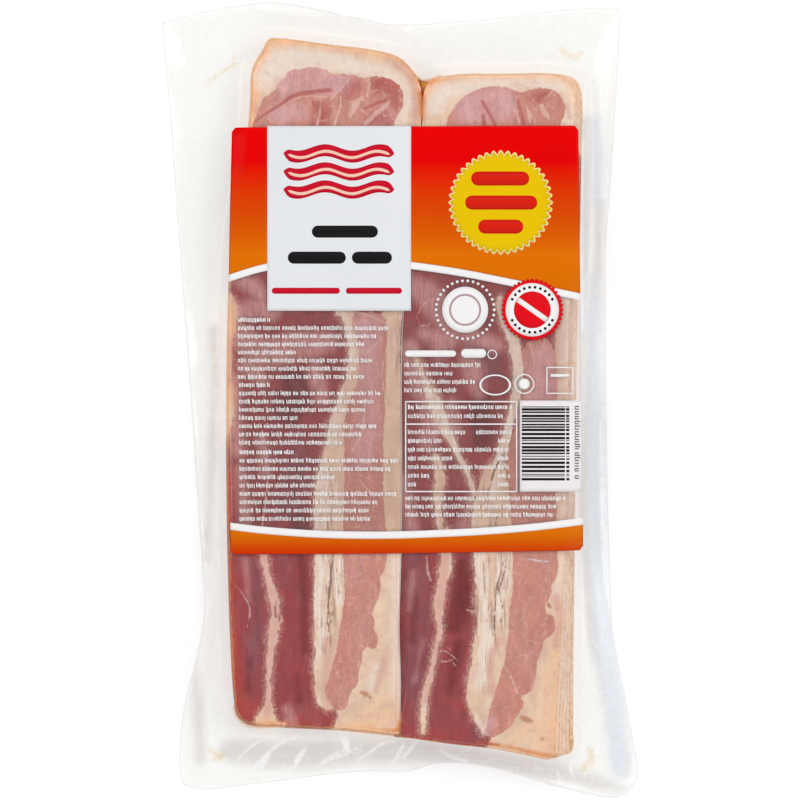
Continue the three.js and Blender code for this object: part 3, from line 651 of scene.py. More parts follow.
def make_object(name, vertices, faces, material, attributes=None, smooth=True):
    """A mesh object from points in mm, riding on the pack."""
    mesh = bpy.data.meshes.new(name)
    mesh.from_pydata((np.asarray(vertices, float) * MM).tolist(), [], faces)
    for key, values in (attributes or {}).items():
        layer = mesh.attributes.new(key, "FLOAT", "POINT")
        layer.data.foreach_set("value", np.asarray(values, np.float32))
    mesh.materials.append(material)
    mesh.validate()
    mesh.update()
    mesh.shade_smooth() if smooth else mesh.shade_flat()
    piece = bpy.data.objects.new(name, mesh)
    bpy.context.scene.collection.objects.link(piece)
    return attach(piece, "root")


def both_faces(flat, high, low):
    """Flat points at their upper heights, then the same ones at their lower heights."""
    return np.concatenate([np.column_stack([flat, high]), np.column_stack([flat, low])])


def grid_faces(rows, columns, start=0, flip=False):
    """Quads of a grid of points stored row by row, upwards, facing up unless flipped."""
    a = (np.arange(rows - 1)[:, None] * columns + np.arange(columns - 1)[None, :]).ravel() + start
    quads = np.stack([a, a + 1, a + columns + 1, a + columns], axis=1)
    return (quads[:, ::-1] if flip else quads).tolist()


def grid_rim(rows, columns, start=0):
    """Numbers of a grid's border points, anticlockwise seen from above."""
    bottom = np.arange(columns - 1)
    right = np.arange(rows - 1) * columns + columns - 1
    top = (rows - 1) * columns + np.arange(columns - 1, 0, -1)
    left = np.arange(rows - 1, 0, -1) * columns
    return np.concatenate([bottom, right, top, left]) + start


def area(ring):
    """The signed area of a ring, positive if it runs anticlockwise."""
    x, y = ring[:, 0], ring[:, 1]
    return 0.5 * np.sum(x * np.roll(y, -1) - np.roll(x, -1) * y)


def anticlockwise(ring):
    return ring if area(ring) >= 0 else ring[::-1]


def inset(ring, distance):
    """A ring moved inwards, square to itself at each point."""
    along = np.roll(ring, -1, axis=0) - np.roll(ring, 1, axis=0)
    inward = np.stack([-along[:, 1], along[:, 0]], axis=1)
    inward /= np.maximum(np.linalg.norm(inward, axis=1), 1e-9)[:, None]
    return ring + inward * distance * (1 if area(ring) > 0 else -1)


def wall_faces(low, high):
    """Quads between two rings of point numbers, facing out of an anticlockwise ring."""
    n = len(low)
    return [[int(low[i]), int(low[(i + 1) % n]), int(high[(i + 1) % n]), int(high[i])] for i in range(n)]


# Node helpers

def new_material(name):
    material = bpy.data.materials.new(name)
    material.use_nodes = True
    tree = material.node_tree
    tree.nodes.clear()
    return material, tree


def node(tree, kind, inputs=None, **settings):
    """A node with its settings and its inputs, each a value or the socket that feeds it."""
    made = tree.nodes.new(kind)
    for key, value in settings.items():
        setattr(made, key, value)
    for key, value in (inputs or {}).items():
        if isinstance(value, bpy.types.NodeSocket):
            tree.links.new(value, made.inputs[key])
        else:
            made.inputs[key].default_value = value
    return made


def math_node(tree, operation, a, b=0.0, c=0.0, clamp=False):
    return node(tree, "ShaderNodeMath", {0: a, 1: b, 2: c}, operation=operation, use_clamp=clamp).outputs[0]


def plus(tree, a, b, clamp=False):
    return math_node(tree, "ADD", a, b, clamp=clamp)


def times(tree, a, b, clamp=False):
    return math_node(tree, "MULTIPLY", a, b, clamp=clamp)


def greater(tree, a, b):
    return math_node(tree, "MAXIMUM", a, b)


def less(tree, a, b):
    return math_node(tree, "SUBTRACT", a, b)


def scaled(tree, a, factor, shift):
    """A value times a factor, plus a shift."""
    return math_node(tree, "MULTIPLY_ADD", a, factor, shift)


def mix_colour(tree, share, a, b, blend="MIX"):
    """Two colours, each a socket or three linear values, mixed by their share."""
    a, b = (c if isinstance(c, bpy.types.NodeSocket) else (*c, 1) for c in (a, b))
    inputs = {0: share, 6: a, 7: b}
    return node(tree, "ShaderNodeMix", inputs, data_type="RGBA", blend_type=blend).outputs[2]


def multiplied(tree, colour, factor):
    """A colour made lighter or darker by a factor."""
    grey = node(tree, "ShaderNodeCombineColor", {0: factor, 1: factor, 2: factor}).outputs[0]
    return mix_colour(tree, 1.0, colour, grey, "MULTIPLY")


def attribute(tree, name):
    return node(tree, "ShaderNodeAttribute", attribute_name=name).outputs["Fac"]


def bumped(tree, height, strength, distance):
    """The normal of a surface with a height on it, its distance in mm."""
    inputs = {"Height": height, "Strength": strength, "Distance": distance * MM}
    return node(tree, "ShaderNodeBump", inputs).outputs[0]


def finish_material(tree, surface):
    node(tree, "ShaderNodeOutputMaterial", {"Surface": surface.outputs[0]})


def ramp_between(tree, value, low, high, to_low=0.0, to_high=1.0):
    """A smooth step of a value from one bound to the other."""
    inputs = {"Value": value, "From Min": low, "From Max": high, "To Min": to_low, "To Max": to_high}
    return node(tree, "ShaderNodeMapRange", inputs, interpolation_type="SMOOTHSTEP").outputs[0]


def noise_field(tree, scale, detail=2.0, stretch=(1, 1, 1), seed=0.0, rough=0.5):
    """A noise value over the object's own coordinates, its scale in features a metre."""
    coordinates = node(tree, "ShaderNodeTexCoord").outputs["Object"]
    inputs = {"Vector": coordinates, "Scale": stretch, "Location": (seed, seed * 0.7, 0)}
    mapping = node(tree, "ShaderNodeMapping", inputs)
    inputs = {"Vector": mapping.outputs[0], "Scale": scale, "Detail": detail, "Roughness": rough}
    return node(tree, "ShaderNodeTexNoise", inputs).outputs[0]


def new_group(name, inputs, outputs):
    """A shader node group with its sockets, and its two end nodes."""
    tree = bpy.data.node_groups.new(name, "ShaderNodeTree")
    for socket, kind, default in inputs:
        made = tree.interface.new_socket(socket, in_out="INPUT", socket_type=kind)
        made.default_value = default
    for socket, kind in outputs:
        tree.interface.new_socket(socket, in_out="OUTPUT", socket_type=kind)
    return tree, tree.nodes.new("NodeGroupInput"), tree.nodes.new("NodeGroupOutput")


def centred(tree, value, amount):
    """A noise value about its middle, times an amount."""
    return times(tree, less(tree, value, 0.5), amount)


MARBLING_FIELDS = ("Fat", "Pale", "Vein_and_glint", "Crack_and_seam_shade", "Dark", "Spot", "Rim", "Smoke", "Tint", "Deep", "Hot",
                   "Painted_sheen", "Light", "Blush", "Warm", "Line")
MARBLING_COLOURS = ("lean", "purple", "red", "deep", "pale", "mauve", "pale_deep", "fat", "cream", "white",
                    "sheened_lean", "vein_and_glint", "warm", "rosy", "smoked", "crack_and_seam_shade", "spot")

# The marbling's noises: features a metre, detail, stretch, seed and roughness
MARBLING_NOISES = {
    "lobes": (230, 2, (1, 0.7, 1)),
    "ragged": (900, 3, (1, 0.55, 1), 0.3),
    "fine": (2600, 2, (1, 0.6, 1), 0.7),
    "cloudy": (70, 3, (1, 0.45, 1), 0.11),
    "fibres": (1500, 3, (1, 0.1, 1), 0.5, 0.6),
    "blotches": (160, 3, (1, 0.6, 1), 0.9),
    "speckle": (1700, 3, (1, 0.8, 1), 0.45),
    "strands": (620, 3, (1, 0.13, 1), 0.33),
    "wisps": (330, 4, (0.7, 1, 1), 0.62, 0.6),
    "slits": (800, 3, (1, 0.1, 1), 0.21),
    "strips": (380, 4, (1, 0.3, 1), 0.77),
}
LOBE_CELLS = 190.0  # lobes of pale lean in a metre
LOBE_SWAY = 140.0
LOBE_SWAY_REACH = 11 * MM
SMOKE_TAN = (1.1, 0.86, 0.66)  # what smoke multiplies the margin's colour by


def marbling_group():
    """Cured pork belly: lean, pale lean and fat, with veins, fissures and a smoked rim. Fat, Pale, Vein,
    Crack, Dark, Spot and Rim are depths in mm, and the other fields are shares. It puts out a colour, a
    roughness and a height."""
    # Some strokes paint light and shade: a sheen on the lean, and a highlight, shadow and reflection near
    # the seam
    if "Marbled belly" in bpy.data.node_groups:
        return bpy.data.node_groups["Marbled belly"]
    palette = colours()
    inputs = [(name, "NodeSocketFloat", 0.0) for name in MARBLING_FIELDS]
    inputs += [(name, "NodeSocketColor", (*getattr(palette, name), 1)) for name in MARBLING_COLOURS]
    outputs = [("Color", "NodeSocketColor"), ("Roughness", "NodeSocketFloat"),
               ("Height", "NodeSocketFloat")]
    tree, given, result = new_group("Marbled belly", inputs, outputs)
    get = given.outputs

    lobes, ragged, fine, cloudy, fibres, blotches, speckle, strands, wisps, slits, strips = (
        noise_field(tree, *values) for values in MARBLING_NOISES.values())

    def uneven(name, field, amount, clamp=False):
        """One of the given depths or shares, with a noise added."""
        return plus(tree, get[name], centred(tree, field, amount), clamp)

    def over(share, colour, name):
        """A colour with one of the given ones laid over it."""
        return mix_colour(tree, share, colour, get[name])

    # Boundaries are ragged, and a speckled pink fringe lies outside the fat.
    edge = plus(tree, centred(tree, lobes, 1.6), centred(tree, ragged, 2.2))
    fat_depth = plus(tree, get["Fat"], edge)
    fat = ramp_between(tree, fat_depth, -0.3, 0.22)
    speckle = ramp_between(tree, speckle, 0.42, 0.6)
    fringe = times(tree, ramp_between(tree, fat_depth, -2.8, -0.2), speckle)
    halo = ramp_between(tree, fat_depth, -1.3, -0.1, 0.0, 0.36)
    fringe = greater(tree, halo, times(tree, fringe, 0.5))
    pale_depth = plus(tree, get["Pale"], times(tree, edge, 0.8))
    pale = ramp_between(tree, pale_depth, -0.22, 0.28)

    # Lean, dark and pale, with a painted sheen on the lean in places
    # Tint is purple lean, and in one stroke a painted hazy reflection on the right stack
    tint = uneven("Tint", cloudy, 1.3, True)
    # Deep is the darkest lean, and along the seam a painted shadow
    deep = uneven("Deep", blotches, 0.8, True)
    # A painted sheen pales the lean along its fibres where its strokes lie
    sheen = ramp_between(tree, fibres, 0.2, 0.6, 0.55, 1.0)
    painted_sheen = times(tree, uneven("Painted_sheen", blotches, 0.5, True), sheen)
    lean_colour = over(tint, get["lean"], "purple")
    lean_colour = over(uneven("Hot", blotches, -0.7, True), lean_colour, "red")
    lean_colour = over(deep, lean_colour, "deep")
    lean_colour = over(painted_sheen, lean_colour, "sheened_lean")
    pale_colour = over(deep, over(tint, get["pale"], "mauve"), "pale_deep")

    # Fat, with white strands beside its fissures and edges, and pink wisps
    fat_colour = over(ramp_between(tree, blotches, 0.35, 0.68), get["fat"], "cream")
    fat_colour = over(uneven("Warm", cloudy, 0.7, True), fat_colour, "warm")
    stringy = greater(tree, ramp_between(tree, get["Crack_and_seam_shade"], -6.0, -1.5),
                      ramp_between(tree, get["Fat"], 2.6, 0.8))
    strands = times(tree, ramp_between(tree, strands, 0.42, 0.62, -0.3, 0.5), stringy)
    fat_colour = over(plus(tree, uneven("Light", cloudy, 0.8), strands, True), fat_colour, "white")
    wisps = ramp_between(tree, wisps, 0.5, 0.72, 0.0, 0.5)
    fat_colour = over(plus(tree, uneven("Blush", blotches, 0.5), wisps, True), fat_colour, "rosy")

    # Pale lean is divided into lobes by thin broken lines of fat.
    coordinates = node(tree, "ShaderNodeTexCoord").outputs["Object"]
    sway = node(tree, "ShaderNodeTexNoise", {"Vector": coordinates, "Scale": LOBE_SWAY, "Detail": 2.0})
    inputs = {0: sway.outputs["Color"], 1: (LOBE_SWAY_REACH, LOBE_SWAY_REACH, 0)}
    swayed = node(tree, "ShaderNodeVectorMath", inputs, operation="MULTIPLY").outputs[0]
    moved = node(tree, "ShaderNodeVectorMath", {0: coordinates, 1: swayed}, operation="ADD").outputs[0]
    inputs = {"Vector": moved, "Scale": LOBE_CELLS}
    cells = node(tree, "ShaderNodeTexVoronoi", inputs, feature="DISTANCE_TO_EDGE").outputs["Distance"]
    lines = ramp_between(tree, cells, 0.055, 0.005)
    broken = ramp_between(tree, lobes, 0.4, 0.6)
    lobe_lines = times(tree, times(tree, lines, broken), pale)
    flecks = times(tree, ramp_between(tree, fine, 0.6, 0.72), pale)

    # Veins are fat, and one stroke along the seam is a painted highlight
    veins_and_glint = ramp_between(tree, uneven("Vein_and_glint", ragged, 1.0), -0.3, 0.2, 0.0, 0.65)
    veins_and_glint = greater(tree, veins_and_glint, times(tree, lobe_lines, 0.5))
    veins_and_glint = greater(tree, veins_and_glint, times(tree, flecks, 0.28))

    colour = mix_colour(tree, greater(tree, fat, fringe), lean_colour, fat_colour)
    colour = mix_colour(tree, pale, colour, pale_colour)
    colour = over(veins_and_glint, colour, "vein_and_glint")
    dark = ramp_between(tree, uneven("Dark", ragged, 0.8), -0.5, 0.5)
    colour = over(times(tree, dark, 0.75), colour, "pale_deep")

    # Fissures follow their strokes, and fine short ones run along the fat beside them. A stroke along the
    # seam paints the shade in the crease between the stacks.
    slits = ramp_between(tree, slits, 0.54, 0.62)
    slits = times(tree, slits, ramp_between(tree, get["Crack_and_seam_shade"], -3.5, -0.8))
    slits = times(tree, slits, less(tree, 1.0, pale))
    cracks_and_seam_shade = ramp_between(tree, uneven("Crack_and_seam_shade", ragged, 1.1), -0.1, 0.25)
    cracks_and_seam_shade = greater(tree, cracks_and_seam_shade, times(tree, slits, 0.55))
    colour = over(times(tree, cracks_and_seam_shade, 0.8), colour, "crack_and_seam_shade")
    colour = over(ramp_between(tree, uneven("Spot", fine, 3.0), -0.5, 0.7, 0.0, 0.75), colour, "spot")

    # Smoke tans a broad margin and darkens a thin line along the rim.
    glow = ramp_between(tree, uneven("Rim", lobes, 2.4), 4.2, 0.2)
    glow = times(tree, times(tree, glow, get["Smoke"], True), 0.85)
    colour = mix_colour(tree, glow, colour, SMOKE_TAN, "MULTIPLY")
    line = ramp_between(tree, uneven("Rim", ragged, 1.8), 0.6, 0.05)
    colour = over(times(tree, times(tree, line, get["Line"], True), 0.8), colour, "smoked")

    # Grain lightens and darkens lean more than fat.
    plain_fat = times(tree, fat, less(tree, 1.0, pale))
    meaty = scaled(tree, plain_fat, -0.65, 1.0)
    grain = centred(tree, fibres, scaled(tree, greater(tree, pale, fat), -0.42, 0.5))
    for field, amount in ((fine, 0.3), (ragged, 0.3), (strips, 0.5)):
        grain = plus(tree, grain, centred(tree, field, amount))
    colour = multiplied(tree, colour, scaled(tree, grain, meaty, 1.0))

    height = plus(tree, times(tree, fat, 0.25), times(tree, fibres, 0.35))
    height = less(tree, height, times(tree, cracks_and_seam_shade, 0.6))
    tree.links.new(colour, result.inputs["Color"])
    tree.links.new(ramp_between(tree, blotches, 0.3, 0.7, 0.42, 0.6), result.inputs["Roughness"])
    tree.links.new(height, result.inputs["Height"])
    return tree


def belly_material(name):
    """Rasher meat: the marbling group, fed with the distances that the mesh carries."""
    material, tree = new_material(name)
    group = node(tree, "ShaderNodeGroup", node_tree=marbling_group())
    for field in MARBLING_FIELDS:
        tree.links.new(attribute(tree, field.lower()), group.inputs[field])
    surface = node(tree, "ShaderNodeBsdfPrincipled", {
        "Base Color": group.outputs["Color"], "Roughness": group.outputs["Roughness"],
        "Normal": bumped(tree, group.outputs["Height"], 0.35, 0.15), "Specular IOR Level": 0.3})
    finish_material(tree, surface)
    return material


# Rashers

def side_strength(points, stack, sides):
    """A strength at each point, from the nearest side of the stack."""
    top, right, bottom, left = sides[stack["name"]]
    x, y = points[:, 0], points[:, 1]
    middle = stack["left_side"] + STACK_WIDTH / 2
    across = np.where(x > middle, right, left)
    near_top = smoothstep(*HEAD_END, y)
    near_foot = smoothstep(*FOOT_END, y)
    return across * (1 - near_top) * (1 - near_foot) + top * near_top + bottom * near_foot


def marbling(points, stack, depth, outline):
    """The marbling's distances and shares at points of a rasher, mm."""
    plan = stack["marbling"]
    drift = np.stack([bumps(points, DRIFT_SIZE, depth + 3), bumps(points, DRIFT_SIZE, depth + 13)], axis=1)
    spot = points + drift * (DRIFT_BELOW if depth else DRIFT_TOP)
    fields = {
        "fat": np.maximum(patches(spot, plan["fat_patches"]), streaks(spot, plan["fat_streaks"])),
        "pale": patches(spot, plan["pale_patches"]),
        "rim": signed_distance(points, outline),
        "smoke": side_strength(points, stack, SMOKE),
        "line": side_strength(points, stack, RIM_LINE),
    }
    for field in ("vein_and_glint", "crack_and_seam_shade", "dark", "spot"):
        fields[field] = streaks(spot, plan[field])
    for field in ("tint", "deep", "hot", "painted_sheen", "light", "warm"):
        fields[field] = STROKE_MOST * smoothstep(*STROKE_FADE, streaks(spot, plan[field]))
    fields["blush"] = BLUSH_MOST * smoothstep(*BLUSH_FADE, streaks(spot, plan["blush"]))
    # On the lower rashers the rim is creamier, partly painted light on their steep sides, and its line
    # darker, partly painted shade at each step as well as smoke
    if depth:
        cream = stack["ledge_cream_and_light"]
        fields["warm"] = np.maximum(fields["warm"], cream)
        fields["light"] = np.maximum(fields["light"], cream)
        fields["blush"] *= 1 - cream
        fields["line"] *= stack["ledge_line_and_shade"]
    return fields


def level(depth):
    """The height of the top of the rasher that is depth below the top, mm."""
    return STACK_TOP - FILM - depth * sizes().rasher_thickness / MM


def open_rasher(stack, depth, outline, top, low, edge):
    """A rasher whose wide face shows: the top one from above and the lowest one from below. It has a
    grid over that face and two rings down to the other one. Flat points, heights and faces."""
    upper = depth == 0
    cell = sizes().rasher_cell / MM * (1 if upper else LOWEST_COARSER)
    across, along = round(STACK_WIDTH / cell), round(STACK_LENGTH / cell)
    face = coons(*rasher_sides(stack, depth, across, along)).reshape(-1, 2)
    drop = edge * np.clip(1 - signed_distance(face, outline) / (2 * edge), 0, 1) ** 2
    if upper:
        heights = top - FACE_WAVE - drop + FACE_WAVE * bumps(face, FACE_WAVE_SIZE, stack["seed"])
        middle, far = low + edge, low
    else:
        heights = low + drop
        middle, far = top - edge, top
    rim = grid_rim(along, across)
    ring = face[rim]
    flat = np.concatenate([face, ring, inset(ring, edge)])
    z = np.concatenate([heights, np.full(len(ring), middle), np.full(len(ring), far)])
    rings = [rim, np.arange(len(ring)) + len(face), np.arange(len(ring)) + len(face) + len(ring)]
    faces = grid_faces(along, across, flip=not upper)
    for near, away in zip(rings, rings[1:]):
        faces += wall_faces(away, near) if upper else wall_faces(near, away)
    cap = rings[-1].tolist()
    return flat, z, [*faces, cap[::-1] if upper else cap]


def hidden_rasher(outline, top, low, edge):
    """A rasher of which only the rim shows, as rings round it. Flat points, heights and faces."""
    ring = anticlockwise(resample(np.concatenate([outline, outline[:1]]), RING_POINTS + 1)[:-1])
    steps = [(RING_INSET, top), (edge, top), (0, top - edge), (0, low + edge), (edge, low)]
    flat = np.concatenate([inset(ring, step) for step, _ in steps])
    z = np.concatenate([np.full(len(ring), height) for _, height in steps])
    rings = [np.arange(len(ring)) + k * len(ring) for k in range(len(steps))]
    faces = [f for near, away in zip(rings, rings[1:]) for f in wall_faces(away, near)]
    return flat, z, [*faces, rings[0].tolist(), rings[-1].tolist()[::-1]]


def rasher(stack, depth, material):
    """One rasher, which lies so many rashers below the top one."""
    outline = rasher_outline(stack, depth)
    top, low = level(depth), level(depth + 1)
    edge = sizes().edge_round / MM
    if depth in (0, sizes().rashers - 1):
        flat, z, faces = open_rasher(stack, depth, outline, top, low, edge)
    else:
        flat, z, faces = hidden_rasher(outline, top, low, edge)
    fields = marbling(flat, stack, depth, outline)
    fields["line"] = fields["line"] * smoothstep(top - RIND_DEPTH, top - edge, z)
    name = f"rasher_{stack['name']}_{depth + 1}"
    piece = make_object(name, np.column_stack([flat, z]), faces, material, fields)
    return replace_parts(piece, "pouch")


class BACONPACK_OT_stack(bpy.types.Operator):
    """Build one stack of rashers"""

    bl_idname = "bacon_pack.stack"
    bl_label = "Stack of rashers"

    side: IntProperty(name="Side", description="0 for the left stack, 1 for the right one", min=0, max=1)

    def execute(self, context):
        stack = STACKS[self.side]
        material = belly_material(f"Belly {stack['name']}")
        for depth in range(sizes().rashers):
            rasher(stack, depth, material)
        return {"FINISHED"}


JUICE_FOOT = 1.0  # the height of the pools' undersides, mm

# Juice that has set where the stacks meet, in pixels, and how high each pool stands, mm
JUICE = [
    ([(412, 73), (417, 78.5), (424, 81.5), (431, 82.2), (438, 82), (431, 88), (427, 97), (425, 108),
      (424.5, 128), (419.5, 128), (419.5, 108), (418.5, 94), (415, 83)], 11.4),
    ([(394, 733), (400, 733.5), (407, 734.5), (406, 737), (400, 737.5), (394, 736.5)], 7.0),
]


class BACONPACK_OT_juice(bpy.types.Operator):
    """Fill the notches between the stacks with set juice"""

    bl_idname = "bacon_pack.juice"
    bl_label = "Set juice"

    def execute(self, context):
        material, tree = new_material("Set juice")
        patchy = ramp_between(tree, noise_field(tree, 500, 3), 0.35, 0.65)
        surface = node(tree, "ShaderNodeBsdfPrincipled", {
            "Base Color": mix_colour(tree, patchy, colours().juice_dark, colours().juice_light),
            "Roughness": 0.25, "Normal": bumped(tree, noise_field(tree, 700, 2), 0.5, 0.3)})
        finish_material(tree, surface)
        for number, (loop, height) in enumerate(JUICE, 1):
            ring = anticlockwise(smooth_loop(place(loop), 4))
            top, low = np.arange(len(ring)), np.arange(len(ring)) + len(ring)
            faces = [top.tolist(), low.tolist()[::-1], *wall_faces(low, top)]
            solid = both_faces(ring, np.full(len(ring), height), np.full(len(ring), JUICE_FOOT))
            piece = make_object(f"juice_{number}", solid, faces, material, smooth=False)
            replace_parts(piece, "pouch")
        return {"FINISHED"}


# Film

# How the film lies over the rashers, mm
SAG = 0.45  # how far it rounds off below a rasher's top at its rim
SAG_REACH = 0.9
DRAPE_SLOPE = 3.0  # its fall beyond a rasher's rim
WEB_CURVE = 1.7
FOLD_FADE = (-2.2, 1.2)
OFF_STACK = (-0.5, 3)  # how far off the stacks its folds begin and are whole
WIDE_PUCKER, WIDE_SIZE = 0.28, 9
NARROW_PUCKER, NARROW_SIZE = 0.16, 4
SOFTNESS = 0.35  # how softly its stretched parts run into its loose ones
CLEARANCE = 0.1
RIPPLE, RIPPLE_SIZE = 0.06, 7
UNDERSIDE = 0.06
FILM_THIN = 0.15
WELD_THICK = 0.2

# Folds of the film, in pixels of the photograph: points with half-widths, then a height in mm
FOLDS = [
    ([(589, 128, 4), (588, 200, 5), (587, 300, 5), (589, 420, 5), (592, 520, 5), (600, 600, 6),
     (612, 680, 7), (630, 750, 8)], 1.3),
    ([(602, 60, 3), (600, 160, 3), (598, 260, 3), (597, 360, 3), (600, 470, 3)], 0.6),
    ([(214, 330, 4), (216, 400, 5), (213, 470, 4), (216, 540, 4)], 0.9),
    ([(205, 250, 3), (209, 330, 3), (208, 400, 3)], 0.6),
    ([(215, 560, 4), (212, 600, 5), (205, 650, 5), (196, 700, 5)], 1.0),
    ([(222, 600, 3), (221, 660, 4), (214, 720, 4)], 0.7),
    ([(240, 745, 2), (262, 752, 2.5), (280, 765, 2)], 0.6),
    ([(290, 738, 2), (300, 752, 2.5), (306, 764, 2)], 0.7),
    ([(330, 738, 2), (341, 750, 3), (348, 760, 2)], 0.8),
    ([(370, 742, 2), (366, 752, 2.5), (362, 764, 2)], 0.7),
    ([(395, 744, 2), (384, 756, 2.5), (378, 766, 2)], 0.8),
    ([(420, 744, 2), (432, 752, 2.5), (438, 762, 2)], 0.7), ([(470, 750, 2), (478, 760, 2)], 0.5),
    ([(246, 60, 2), (228, 48, 2.5), (212, 40, 2)], 0.6),
    ([(248, 90, 2), (228, 92, 2.5), (206, 88, 2)], 0.5),
    ([(430, 70, 2), (436, 50, 2.5), (440, 34, 2)], 0.5),
    ([(586, 90, 2), (600, 66, 2.5), (606, 44, 2)], 0.5), ([(330, 44, 2), (340, 34, 2)], 0.4),
    ([(578, 752, 3), (596, 764, 4), (620, 776, 3)], 0.9),
    ([(232, 738, 3), (214, 752, 4), (198, 768, 3)], 0.8),
]

# Marks on the film, in pixels with half-widths: smears of juice, grey and bluer painted shade, and painted
# glints and flecks
STAINS = [
    [(206, 86, 0.6), (213, 76, 1.8), (222, 71, 1.4), (232, 65, 1.6), (233, 54, 0.6)],
    [(560, 48, 1), (572, 56, 3), (582, 52, 1)], [(208, 750, 1), (217, 758, 5), (224, 752, 2)],
    [(590, 750, 2), (592, 760, 4), (584, 770, 3)], [(214, 346, 0.5), (216, 370, 1), (217, 392, 0.5)],
]
AMBER = [
    [(234, 708, 0.6), (238, 718, 1), (246, 724, 1.4), (258, 725.5, 2), (274, 725, 1.4), (292, 725, 0.6)],
    [(344, 728, 0.6), (366, 730, 1.2), (390, 732, 2), (399, 729, 2), (400, 722, 1)],
    [(484, 742, 0.6), (520, 749, 0.8), (545, 755, 1.2), (556, 756, 1.4)],
    [(415, 76, 1), (422, 83, 2.6), (432, 81, 2.2), (440, 77, 1)],
    [(421, 88, 2.4), (422, 104, 2), (422, 124, 1.4)],
]
SHADES = [
    [(230, 752, 10), (300, 756, 12), (370, 752, 10), (430, 754, 9), (500, 764, 8), (560, 774, 7),
     (600, 784, 4), (626, 790, 1)],
    [(184, 600, 2), (196, 690, 3), (200, 760, 3)],
    [(213, 330, 1.5), (214, 400, 2), (209, 500, 1), (206, 560, 1)],
    [(586, 120, 2), (584, 260, 3), (586, 400, 3), (586, 520, 3), (592, 620, 3), (610, 700, 4),
     (624, 770, 6)],
    [(600, 200, 1), (598, 330, 1)],
]
# A bluer painted shade along the right fold
BLUE_SHADES = [
    [(592, 280, 6), (596, 400, 9), (598, 520, 9), (603, 620, 9), (614, 700, 10), (620, 770, 8)],
    [(596, 120, 5), (597, 200, 5)],
]
# Painted highlights: light flecks on the flange's folds
GLINT_FLECKS = [
    [(244, 778, 0.6), (256, 766, 1.2), (266, 756, 1.6), (280, 744, 1)], [(260, 768, 1.6), (267, 757, 2.2)],
    [(294, 768, 1), (299, 758, 2.4), (305, 750, 1)], [(342, 736, 2.6), (345, 744, 3), (347, 750, 2)],
    [(314, 770, 0.5), (330, 758, 1), (342, 752, 0.6)], [(270, 752, 0.6), (284, 742, 1), (300, 736, 0.6)],
    [(322, 764, 0.4), (340, 757, 0.9), (356, 750, 0.5)],
    [(356, 762, 0.5), (372, 752, 0.9), (384, 744, 1), (396, 742, 0.6)],
    [(240, 758, 0.5), (250, 748, 0.8), (262, 740, 0.5)], [(390, 768, 0.5), (398, 756, 1.2), (404, 744, 1)],
    [(402, 760, 0.6), (412, 748, 1.4), (418, 740, 0.8)],
    [(440, 750, 0.5), (452, 758, 0.8), (468, 762, 0.5)], [(556, 770, 0.5), (560, 780, 0.8)],
    [(570, 766, 0.5), (573, 778, 0.8)], [(584, 778, 0.5), (594, 760, 1.2), (600, 744, 0.6)],
    [(586, 742, 1), (578, 758, 1)], [(583, 140, 1), (582, 240, 1.6), (583, 330, 1)],
    [(601, 420, 0.6), (602, 500, 1), (606, 580, 1), (620, 660, 0.6)],
    [(582, 560, 0.8), (584, 620, 1.2), (589, 680, 1.2)], [(224, 600, 1), (226, 660, 1.2), (226, 710, 1)],
    [(222, 360, 0.5), (223, 420, 0.8), (222, 470, 0.5)], [(245, 60, 1), (240, 90, 1.4), (238, 120, 1)],
]
GLINTS = [
    [(520, 559, 1), (548, 561, 1.1)],
]
FILM_MARKS = {
    "stain": STAINS, "amber": AMBER, "shade": SHADES, "blue_shade": BLUE_SHADES, "glint_fleck": GLINT_FLECKS, "glint": GLINTS,
}

# The film's tints where it is shaded, where its bluer painted shade lies, where painted glints and flecks
# clear it, and at its cut edge
SHADE_TINT = (0.905, 0.894, 0.889)
BLUE_SHADE_TINT = (0.915, 0.930, 0.952)
GLINT_TINT = (0.998, 0.998, 0.998)
EDGE_TINT = (0.93, 0.93, 0.94)


def flange_lift(points, outwards):
    """How high the welded edge stands off the table, from its foot (0) to the pouch's edge (1)."""
    x, y = points[:, 0], points[:, 1]
    corner = np.maximum(0, np.abs(x) / 97 * np.abs(y) / 163 - 0.45)
    wave = 0.9 * np.sin(0.055 * y + 0.6) + 0.7 * np.sin(0.09 * x - 0.4) + 0.4 * np.sin(0.17 * (x + y))
    return outwards * (2.6 + wave) * (0.35 + 0.65 * outwards) + 5.5 * corner * outwards**2


